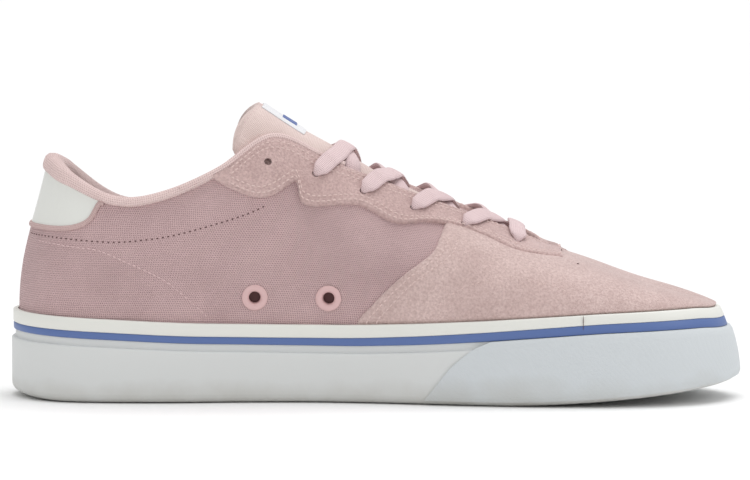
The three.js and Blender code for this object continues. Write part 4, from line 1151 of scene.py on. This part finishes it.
def makeEyestay():
    pieces = []
    for side in (-1, 1):
        low, high = stayEdge(side)
        a = upperPoint(low[:, 0], low[:, 1])
        b = upperPoint(high[:, 0], high[:, 1])
        span = np.maximum(np.linalg.norm(a - b, axis=1), 0.5)
        body = np.linspace(0.08, 0.93, eyestay["rows"])
        near = [0.0, 0.0, 0.25, 0.55, 0.95, 1.5]
        rise = [-0.5, 0.3, 0.68, 0.86, 0.97, 1.0]
        rows = []
        far = ((1.5, 1.0), (0.9, 0.96), (0.5, 0.86), (0.15, 0.6), (0.0, 0.2), (0.0, -0.4))
        across = [(n / span, r) for n, r in zip(near, rise)]
        across += [(np.full_like(span, w), 1.0) for w in body]
        across += [(1 - n / span, r) for n, r in far]
        for w, lift in across:
            w = np.clip(w, 0, 1)
            q = mix(low[:, 0], high[:, 0], w)
            v = mix(low[:, 1], high[:, 1], w)
            rows.append(upperPoint(q, v, stayTop(q, v) * lift))
        pieces.append(gridPiece("stayHalf", np.stack(rows, axis=1)))
        for away in eyestay["doubleRow"]:
            w = np.clip(away / span, 0, 0.5)
            keep = span > eyestay["openSpan"]
            q = mix(low[:, 0], high[:, 0], w)[keep]
            v = mix(low[:, 1], high[:, 1], w)[keep]
            seamRows.append(stitchRow(upperPoint(q, v, stayTop(q, v) + stitch["proud"]), skinNormals(q, v)))
        for away in eyestay["doubleRow"]:  # along the throat edge, on the open part of it
            keep = (span > eyestay["openSpan"]) & (np.abs(high[:, 0]) < shoe["throatEnd"] - 0.2)
            w = 1 - away / span
            q = mix(low[:, 0], high[:, 0], w)[keep]
            v = mix(low[:, 1], high[:, 1], w)[keep]
            seamRows.append(stitchRow(upperPoint(q, v, stayTop(q, v) + stitch["proud"]), skinNormals(q, v)))
    piece = joined(pieces, "eyestayVisual")
    evenNormals(piece, merge=weldGap)
    return piece


def stayTop(q, v):  # height of the suede over the canvas, greater at the front where it lies on the vamp
    s = bareUpper(q, v)[:, 0] + shoe["heelSeat"]
    return mix(eyestay["height"], eyestay["front"],
               smooth((s - eyestay["stepFrom"]) / eyestay["stepLength"]))


stayPiece = makeEyestay()
punch([stayPiece], eyeletHoles)
finishPiece(stayPiece, material["eyestay"], ["eyestay"])
print("eyestay done")

# Heel tab and the folded canvas edge round it
heelTab = {"lower": ((0.016, 0.66), (0.03, 0.66), (0.045, 0.659), (0.06, 0.658), (0.075, 0.659),
                     (0.088, 0.663)),
           "front": ((0.088, 0.663), (0.103, 0.676), (0.114, 0.697), (0.119, 0.721), (0.125, 0.754),
                     (0.133, 0.79)),
           "lift": 0.2, "columns": 110, "rows": 34}


def makeHeelTab():
    front = fromSide(spline(shares(heelTab["front"]), 40), -1)
    lower = fromSide(spline(shares(heelTab["lower"]), 40), -1)
    front[:, 0] *= -1
    lower[:, 0] *= -1
    b = np.linspace(0, 1, heelTab["rows"])
    at = np.linspace(0, 1, 40)
    qe = np.interp(b, at, front[:, 0])
    ve = np.interp(b, at, np.minimum(front[:, 1], 0.97))
    order = np.argsort(lower[:, 0])
    lowV = np.interp(np.abs(np.linspace(-1, 1, heelTab["columns"])) * qe[0], lower[order, 0],
                     lower[order, 1])
    v0 = mix(lower[order[0], 1], 0.97, b)
    a = np.linspace(-1, 1, heelTab["columns"])
    bend = (a ** 2)[:, None]
    q = a[:, None] * qe[None, :]
    plain = v0[None, :] * (1 - bend) + ve[None, :] * bend
    v = plain + (1 - b)[None, :] * (lowV - plain[:, 0])[:, None]
    p = upperPoint(q.ravel(), v.ravel(), np.full(q.size, heelTab["lift"])).reshape(*q.shape, 3)
    piece = gridPiece("heelTabVisual", p)
    finishPiece(piece, material["tab"], ["heel_tab"])
    # folded canvas edge: up the front on one side, along the bottom, up the other side
    left = np.stack([q[0, ::-1], v[0, ::-1]], axis=1)
    middle = np.stack([q[:, 0], v[:, 0]], axis=1)
    right = np.stack([q[-1], v[-1]], axis=1)
    corner = np.vstack([left, middle[1:], right[1:]])
    path = resample(corner, 240)
    for _ in range(6):  # soften the corners
        path[1:-1] = (path[:-2] + 2 * path[1:-1] + path[2:]) / 4
    line = upperPoint(path[:, 0], path[:, 1], np.full(len(path), 0.2))
    n = skinNormals(path[:, 0], path[:, 1])
    edge = sweep("heelTabHem", line, n, 2.1, 1.7, power=2.2)
    finishPiece(edge, material["binding"], None)


makeHeelTab()
print("heel tab done")

# Seams in the canvas
seams = {"collarSeam": ((0.0285, 0.629), (0.0566, 0.626), (0.1105, 0.615), (0.149, 0.611), (0.188, 0.621),
                        (0.2266, 0.638),
                        (0.283, 0.68), (0.328, 0.72), (0.352, 0.75)),
         "counterSeam": ((0.041, 0.607), (0.088, 0.592), (0.123, 0.58), (0.1575, 0.542), (0.2114, 0.472),
                         (0.2418, 0.406),
                         (0.2736, 0.325)),
         "vampLine": ((0.569, 0.335), (0.604, 0.419), (0.631, 0.456), (0.673, 0.48), (0.735, 0.451),
                      (0.7765, 0.396)),
         "pinhole": (0.775, 0.509)}
for side in (-1, 1):
    # collar seam: short dark marks, painted shade in its stitch holes; counter seam: pale stitches
    for label, rows in (("collarSeam", holeRows), ("counterSeam", paleRows)):
        line = fromSide(spline(shares(seams[label]), 60), side)
        points = upperPoint(line[:, 0], line[:, 1], np.full(len(line), 0.05))
        rows.append(stitchRow(points, skinNormals(line[:, 0], line[:, 1]),
                              length=0.9 if rows is holeRows else 1.5, width=0.5))
    line = fromSide(spline(shares(seams["vampLine"]), 60), side)
    points = upperPoint(line[:, 0], line[:, 1], np.full(len(line), vamp["height"] - 0.02))
    seamRows.append(stitchRow(points, skinNormals(line[:, 0], line[:, 1]), length=1.2, width=0.42))
    # a dark dot at the pinhole, painted shade inside the hole
    dot = fromSide(shares([seams["pinhole"], seams["pinhole"]]), side)
    dot[1, 0] += 0.01 * side
    points = upperPoint(dot[:, 0], dot[:, 1], np.full(2, vamp["height"]))
    holeRows.append(stitchRow(points, skinNormals(dot[:, 0], dot[:, 1]), length=0.9, width=0.9))

# Collar: padded roll over the top line
collar = {"stations": 150, "lap": 3.6, "frontLap": 1.4, "fold": 1.5, "pad": 5.0, "thin": 1.4, "depth": 0.42}


def makeCollar():
    q = np.linspace(-shoe["collarEnd"] - 0.02, shoe["collarEnd"] + 0.02, collar["stations"])
    row = np.abs(q)
    one = np.ones_like(q)
    top = upperPoint(q, one)
    n = faceNormals(bareUpper, q, one)
    up = bareUpper(q, one) - bareUpper(q, 0.96 * one)
    up /= np.linalg.norm(up, axis=1, keepdims=True)
    padding = mix(collar["pad"], collar["thin"], smooth((row - 4.5) / 1.4))
    fold = collar["fold"] * mix(1, 0.8, smooth((row - 4.5) / 1.4))
    inner = shoe["wall"] + 0.3 + padding
    rings = []
    lap = -mix(collar["lap"], collar["frontLap"], smooth((row - 1.5) / 1.6))
    roll = (
        (0.0 * fold, lap), (0.35 * fold, lap - 0.1), (0.8 * fold, lap + 0.5), (fold, lap * 0.65),
        (1.08 * fold, lap / 2), (1.04 * fold, -0.2), (0.8 * fold, 0.95 * fold), (0.2 * fold, 1.6 * fold),
        (-inner * 0.25, 1.9 * fold), (-inner * 0.55, 1.6 * fold), (-inner * 0.82, 0.7 * fold),
        (-inner * 0.98, -1.0),
    )
    for out, height in roll:
        rings.append(top + n * np.broadcast_to(out, len(q))[:, None] + up
                     * np.broadcast_to(height, len(q))[:, None])
    lows = np.linspace(0.93, collar["depth"], 12)
    for v in lows:
        share = (v - collar["depth"]) / (1 - collar["depth"])
        depth = shoe["wall"] + 0.3 + mix(0.5, padding, smooth(share * 1.4))
        rings.append(upperPoint(q, v * one, -depth))
    for v in (collar["depth"], 0.7, 0.9):
        rings.append(upperPoint(q, v * one, -shoe["wall"] / 2 * one))
    piece = gridPiece("collarVisual", np.stack(rings, axis=1), closedRing=True, capEnds=True)
    return finishPiece(piece, material["collar"], ["collar"])


makeCollar()
print("collar done")

# Knit binding that carries on from the collar along the eyestay's top edge
binding = {"start": 4.3, "end": 7.3, "width": 2.4, "height": 1.7, "out": 0.9}


def makeBinding():
    pieces = []
    for side in (-1, 1):
        q = side * np.linspace(binding["start"], binding["end"], 60)
        one = np.ones_like(q)
        up = bareUpper(q, one) - bareUpper(q, 0.96 * one)
        up /= np.linalg.norm(up, axis=1, keepdims=True)
        line = upperPoint(q, one, binding["out"] * one) + up * binding["height"] / 2
        pieces.append(sweep("bindingHalf", line, skinNormals(q, one), binding["width"], binding["height"],
                            power=2.2))
    piece = joined(pieces, "collarBinding")
    finishPiece(piece, material["collar"], None)


makeBinding()
print("binding done")

# Tongue
tongue = {"middle": 6.4, "edge": 2.4, "drop": 20.0, "tilt": 0.5, "sweep": 9.0, "columns": 72,
          "topRow": 0.45, "rowLength": 14.0, "hemTop": 4.5, "hemDepth": 0.55, "hemWidth": 1.0,
          "sideHem": 3.6, "sideHemDepth": 0.5, "sideHemWidth": 0.9,
          "rows": ((0.767, 0.502, 0.2, 0.4, 0.0), (0.708, 0.576, 0.21, 0.5, 0.0),
                   (0.656, 0.65, 0.222, 0.7, 0.0),
                   (0.587, 0.744, 0.234, 0.85, 0.0), (0.515, 0.84, 0.244, 0.9,
                                                      0.0), (0.452, 0.943, 0.25, 1.0, 0.35),
                   (0.397, 1.027, 0.254, 1.0, 0.75), (0.349, 1.112, 0.25, 0.95,
                                                      1.0), (0.338, 1.131, 0.243, 0.8, 1.0))}
tongueTable = np.array(tongue["rows"])
uphill = tongueTable[::-1]
topHalf = tongueTable[-2, 2] * shoe["ballWidth"]


def tongueFall(y, wing):
    return tongue["drop"] * (np.abs(y) / topHalf) ** (2 + 3 * wing)


def tongueBack(y, wing):
    fall = tongueFall(y, wing)
    return mix(tongue["tilt"] * fall, tongue["sweep"] * (1 - np.maximum(0, 1 - fall / tongue["drop"]) ** 3),
               wing)


def tongueColumn(place, k):
    place = np.clip(place, 0, len(tongueTable) - 1)
    i = np.minimum(np.floor(place).astype(int), len(tongueTable) - 2)
    values = tongueTable[:, k]
    e = np.concatenate([[2 * values[0] - values[1]], values, [2 * values[-1] - values[-2]]])
    return catmull(e[i], e[i + 1], e[i + 2], e[i + 3], place - i)


def tonguePoint(place, y, out=0.0):
    place = np.asarray(place, float)
    wing = np.clip(tongueColumn(place, 4), 0, 1)
    fall = tongueFall(y, wing)
    p = np.stack([xAt(tongueColumn(place, 0)) - tongueBack(y, wing), y + 0 * fall,
                  tongueColumn(place, 1) * shoe["instepHeight"] - fall], axis=-1)
    if np.isscalar(out) and out == 0.0:
        return p
    return p + tongueNormal(place, y) * np.broadcast_to(out, p.shape[:-1])[..., None]


def tongueNormal(place, y):
    upward = tonguePoint(np.clip(place + 0.1, 0.1, 7.1), y) - tonguePoint(np.clip(place - 0.1, 0, 7), y)
    across = tonguePoint(place, y + 1) - tonguePoint(place, y - 1)
    n = np.cross(across, upward)
    return n / np.maximum(np.linalg.norm(n, axis=-1, keepdims=True), 1e-9)


def tongueHeight(x, y):
    along = (x + shoe["heelSeat"]) / shoe["length"]
    for _ in range(3):
        wing = np.interp(along, uphill[:, 0], uphill[:, 4])
        along = (x + tongueBack(y, wing) + shoe["heelSeat"]) / shoe["length"]
    return lineAt(tuple((row[0], row[1]) for row in uphill),
                  along) * shoe["instepHeight"] - tongueFall(y, wing)


def makeTongue():
    last = len(tongueTable) - 1
    place = np.concatenate([np.linspace(0, last - 1.02, 74), np.linspace(last - 1, last, 8)])
    t = np.linspace(-1, 1, tongue["columns"])
    half = np.interp(place, np.arange(last + 1), tongueTable[:, 2]) * shoe["ballWidth"]
    thick = np.interp(place, np.arange(last + 1), tongueTable[:, 3])
    y = half[:, None] * t[None, :]
    pl = np.repeat(place[:, None], len(t), axis=1)
    # a shallow channel below the top edge and inside the sides gives the bound edge
    fromTop = (last - tongue["topRow"] - pl) * tongue["rowLength"]
    fromSideEdge = half[:, None] - np.abs(y)
    hemAcross = tongue["hemDepth"] * bell((fromTop - tongue["hemTop"]) / tongue["hemWidth"])
    hemAlong = bell((fromSideEdge - tongue["sideHem"]) / tongue["sideHemWidth"]) * smooth(fromTop / 4)
    channel = hemAcross + tongue["sideHemDepth"] * hemAlong
    roundTop = np.sqrt(1 - (1 - np.clip(last - pl, 0, 1)) ** 2)
    roundSide = np.sqrt(np.clip(1 - np.abs(t[None, :]) ** 14, 0, 1))
    full = mix(tongue["middle"], tongue["edge"], t[None, :] ** 2) * thick[:, None]
    rim = roundTop * roundSide
    face = tonguePoint(pl, y, -channel * rim - (1 - rim) * full * 0.5)
    back = tonguePoint(pl, y, -full * mix(0.5, 1.0, rim))
    ring = np.concatenate([face, back[:, ::-1]], axis=1)
    piece = gridPiece("tongueVisual", ring, closedRing=True, capEnds=True)
    finishPiece(piece, material["tongue"], ["tongue"])
    # stitches of the hem
    topPlace = last - tongue["topRow"] - tongue["hemTop"] / tongue["rowLength"]
    ys = np.linspace(-half[-8] + 5, half[-8] - 5, 60)
    line = tonguePoint(np.full(60, topPlace), ys, -0.5)
    paleRows.append(stitchRow(line, tongueNormal(np.full(60, topPlace), ys)))


makeTongue()
print("tongue done")

# Label on the tongue: plain white cloth, folded over on the real shoe but drawn as one thin sheet, with one
# plain blue block
label = {"width": 22.0, "length": 20.0, "thickness": 0.55, "top": 7.1, "rowLength": 15.9}


def labelSheet(name, width, low, high, out, centre=0.0):
    place = np.linspace(low, high, 24)
    t = np.linspace(-1, 1, 30)
    y = centre + 0 * place[:, None] + width / 2 * t[None, :]
    pl = np.repeat(place[:, None], len(t), axis=1)
    edge = np.minimum(1 - np.abs(t)[None, :], np.minimum(pl - low, high - pl) / (high - low) * 2)
    puff = smooth(edge / 0.12)
    face = tonguePoint(pl, y, out + label["thickness"] * mix(0.4, 1.0, puff))
    back = tonguePoint(pl, y, out - 0.1)
    return gridPiece(name, np.concatenate([face, back[:, ::-1]], axis=1), closedRing=True, capEnds=True)


def makeLabel():
    low = label["top"] - label["length"] / label["rowLength"]
    piece = labelSheet("tongueLabelVisual", label["width"], low, label["top"], 0.15)
    finishPiece(piece, material["label"], ["tongue_label"])
    block = labelSheet("tongueLabelBlock", label["width"] - 8, low + 0.25, low + 0.62, 0.42)
    finishPiece(block, material["labelBlue"], None)


makeLabel()
print("label done")

# Lace: one flat lace, under each eyestay and over it again
lace = {"width": 7.2, "thickness": 1.8, "lift": 0.25}


def unit(v):
    return v / np.linalg.norm(v)


# a point over the eyestay, below the throat edge or past it when below is negative
def overStay(q, below, lift):
    v = np.array([belowTop(q, max(below, 0))])
    q = np.array([q])
    p = upperPoint(q, v, stayTop(q, v) + lift)[0]
    n = faceNormals(bareUpper, q, v)[0]
    if below < 0:
        p = p + unit(bareUpper(q, np.array([1.0]))[0] - bareUpper(q, np.array([0.97]))[0]) * -below
    return p, n


def overTongue(x, y, lift):
    z = float(tongueHeight(np.array(x), np.array(y)))
    gx = float(tongueHeight(np.array(x + 1.0), np.array(y))
               - tongueHeight(np.array(x - 1.0), np.array(y))) / 2
    gy = float(tongueHeight(np.array(x), np.array(y + 1.0))
               - tongueHeight(np.array(x), np.array(y - 1.0))) / 2
    n = unit(np.array([-gx, -gy, 1.0]))
    return np.array([x, y, z]) + n * lift, n


def laceStrand(name, stations):
    count = 110
    p = spline([s[0] for s in stations], count)
    knots = np.array([s[0] for s in stations])
    dist = np.concatenate([[0], np.cumsum(np.linalg.norm(np.diff(knots, axis=0), axis=1))])
    at = np.linspace(0, dist[-1], count)
    n = np.stack([np.interp(at, dist, [s[1][k] for s in stations]) for k in range(3)], axis=1)
    for _ in range(8):
        n[1:-1] = (n[:-2] + 2 * n[1:-1] + n[2:]) / 4
    n /= np.linalg.norm(n, axis=1, keepdims=True)
    w = np.interp(at, dist, [s[2] for s in stations])
    h = np.interp(at, dist, [s[3] for s in stations])
    return sweep(name, p, n, w, h, power=2.5, sides=16)


# stations from inside an eyelet up to the eyestay; ahead is where the strand goes next
def diving(eyelet, ahead):
    point, normal = eyelet["point"], eyelet["normal"]
    tall = stayTop(np.array([eyelet["q"]]), np.array([eyelet["v"]]))[0]
    along = unit(ahead - point - normal * np.dot(ahead - point, normal))
    return [
        (point - normal * 3.6, -along, 2.3, 2.0),
        (point + normal * (tall - 0.5) + along * 0.35, -along, 2.5, 2.0),
        (point + normal * (tall + 0.75) + along * 1.2, unit(normal * 0.8 - along * 0.6), 4.4, 2.2),
        (point + normal * (tall + 1.15) + along * 2.4, normal, 6.4, 2.2),
        (point + normal * (tall + 1.05) + along * 4.6, normal, 7.0, 2.0),
    ]


def makeLace():
    pieces = []
    flat, thick = lace["width"], lace["thickness"]
    for i in range(1, eyelets["count"] - 1):
        for side in (-1, 1):
            near = eyeletPlaces[side][i]
            after = eyeletPlaces[side][i + 1]
            far = eyeletPlaces[-side][i + 1]
            qEdge = side * mix(abs(near["q"]), abs(after["q"]), 0.34)
            edge, edgeNormal = overStay(qEdge, -0.6, thick / 2 + 0.15)
            stations = diving(near, edge)
            q = mix(near["q"], qEdge, 0.75)
            p, n = overStay(q, 2.2, thick / 2 + 0.2)
            stations.append((p, n, flat, thick))
            stations.append((edge, edgeNormal, flat, thick))
            qFar = -side * mix(abs(eyeletPlaces[-side][i]["q"]), abs(far["q"]), 0.83)
            rim = head(np.array([qFar]))[0]
            under = upperPoint(np.array([qFar]), np.array([0.985]), -shoe["wall"] - 0.9)[0]
            above = thick + 0.15 if side < 0 else 0.0
            middle, _ = overTongue(mix(edge[0], rim[0], 0.5), mix(edge[1], rim[1], 0.5),
                                   thick / 2 + lace["lift"] + above)
            middle[2] = max(middle[2], mix(edge[2], rim[2], 0.5) + above * 0.4)
            for t in (0.17, 0.34, 0.5, 0.66, 0.84):
                x, y = mix(edge[0], rim[0], t), mix(edge[1], rim[1], t)
                tent = 1 - abs(t - 0.5) / 0.5
                p, n = overTongue(x, y, thick / 2 + lace["lift"] + above * tent)
                chord = mix(edge[2], middle[2],
                            t / 0.5) if t < 0.5 else mix(middle[2], under[2] + 0.8, (t - 0.5) / 0.5)
                p[2] = max(p[2], chord + 0.2 * math.sin(math.pi * t))
                stations.append((p, n, flat, thick))
            farNormal = faceNormals(bareUpper, np.array([qFar]), np.array([0.97]))[0]
            stations.append((under, farNormal, flat, thick * 0.8))
            q = np.array([mix(qFar, far["q"], 0.6)])
            v = np.array([belowTop(q[0], 6.0)])
            stations.append((upperPoint(q, v, -shoe["wall"] - 1.2)[0], faceNormals(bareUpper, q, v)[0], 5.5,
                             1.6))
            stations.append((far["point"] - far["normal"] * 3.6, far["normal"], 2.6, 1.8))
            pieces.append(laceStrand("laceStrand", stations))
    last = eyelets["count"] - 1
    half = []
    for side in (-1, 1):
        e = eyeletPlaces[side][last]
        edge, n = overStay(e["q"], -0.4, thick / 2 + 0.1)
        stations = diving(e, edge)
        p, m = overStay(e["q"], 2.2, thick / 2 + 0.2)
        stations += [(p, m, flat, thick), (edge, n, flat, thick)]
        half.append(stations)
    a, b = half[0][-1], half[1][-1]
    middle = mix(a[0], b[0], 0.5) + np.array([0, 0, 0.3])
    stations = half[0] + [(middle, unit(a[1] + b[1]), flat, thick)] + half[1][::-1]
    pieces.append(laceStrand("laceBar", stations))
    piece = joined(pieces, "laceVisual")
    nodes = ["lace_cross_1", "lace_cross_2", "lace_cross_3", "lace_cross_4", "lace_bar"]
    return finishPiece(piece, material["lace"], nodes)


makeLace()
print("lace done")

# the hole marks use the dark hole colour: painted shade in stitch holes and pinholes
for pieceName, rows, thread, slotName in (
        ("suedeStitches", seamRows, "thread", "eyestay_suede"),
        ("paleStitches", paleRows, "paleThread", "canvas"),
        ("seamHoleShade", holeRows, "hole", "canvas")):
    finishPiece(stitches(pieceName, rows), material[thread], None)

# Butt seam of the tape, a thin dark line across it: painted shade in the seam's groove
tapeSeamShade = {"along": 0.78, "length": 7.6, "width": 0.22}
for side in (-1, 1):
    row = float(np.interp(tapeSeamShade["along"], extended["along"][1:-1], np.arange(lastRow + 1)))
    q = np.array([side * row])
    middle = (foxingTop(tapeSeamShade["along"]) + stripeBottom(tapeSeamShade["along"])) / 2
    place = wallPoint(q, bands["inset"] + 0.04, middle)
    upright = np.array([[0.0, 0.0, 1.0]])
    normal = np.concatenate([outline(q)[2], [[0.0]]], axis=1)
    rows = [(place, upright, normal, np.array([tapeSeamShade["length"]]), np.array([tapeSeamShade["width"]]))]
    piece = stitches(f"tapeSeamShade{side + 2}", rows)
    finishPiece(piece, material["hole"], None)
print("stitches done")

# Camera, light and floor
camera = {"elevation": 5.0, "distance": 2.1, "lens": 253.0, "target": (0.0998, 0.0, 0.0611)}


def makeCamera():
    bpy.ops.object.camera_add()
    cam = bpy.context.object
    tilt = math.radians(camera["elevation"])
    back = Vector((0, -math.cos(tilt), math.sin(tilt))) * camera["distance"]
    cam.location = Vector(camera["target"]) + back
    cam.rotation_euler = (math.pi / 2 - tilt, 0, 0)
    cam.data.lens = camera["lens"]
    cam.data.sensor_width = 36
    bpy.context.scene.camera = cam


def areaLight(name, place, target, size, power):
    bpy.ops.object.light_add(type="AREA", location=place)
    lamp = bpy.context.object
    lamp.name = name
    lamp.data.shape = "RECTANGLE"
    lamp.data.size, lamp.data.size_y = size
    lamp.data.energy = power
    lamp.rotation_euler = (Vector(target) - Vector(place)).to_track_quat("-Z", "Y").to_euler()


stage = {"floor": 14, "sky": 0.62, "sun": 1.7, "sunSpread": 50, "front": 2.6, "toe": 1.6}


def makeStage():
    bpy.ops.mesh.primitive_plane_add(size=stage["floor"], location=(0.1, 2, -0.0003))
    floor = bpy.context.object
    floor.name = "studioFloor"
    mat, tree, shader = newMaterial("studioFloor", (0.9, 0.9, 0.9, 1), 0.8)
    floor.data.materials.append(mat)
    world = bpy.data.worlds.new("studio")
    world.use_nodes = True
    world.node_tree.nodes["Background"].inputs["Color"].default_value = (1, 1, 1, 1)
    world.node_tree.nodes["Background"].inputs["Strength"].default_value = stage["sky"]
    bpy.context.scene.world = world
    bpy.ops.object.light_add(type="SUN", rotation=(math.radians(-12), math.radians(10), 0))
    sun = bpy.context.object
    sun.name = "overheadLight"
    sun.data.energy = stage["sun"]
    sun.data.angle = math.radians(stage["sunSpread"])
    areaLight("frontLight", (-0.5, -1.2, 0.9), (0.1, 0, 0.04), (0.9, 0.7), stage["front"])
    areaLight("toeLight", (1.1, -0.5, 0.7), (0.1, 0, 0.05), (0.5, 0.5), stage["toe"])


makeCamera()
makeStage()
bpy.context.scene.view_settings.view_transform = "Standard"
print("stage ready")
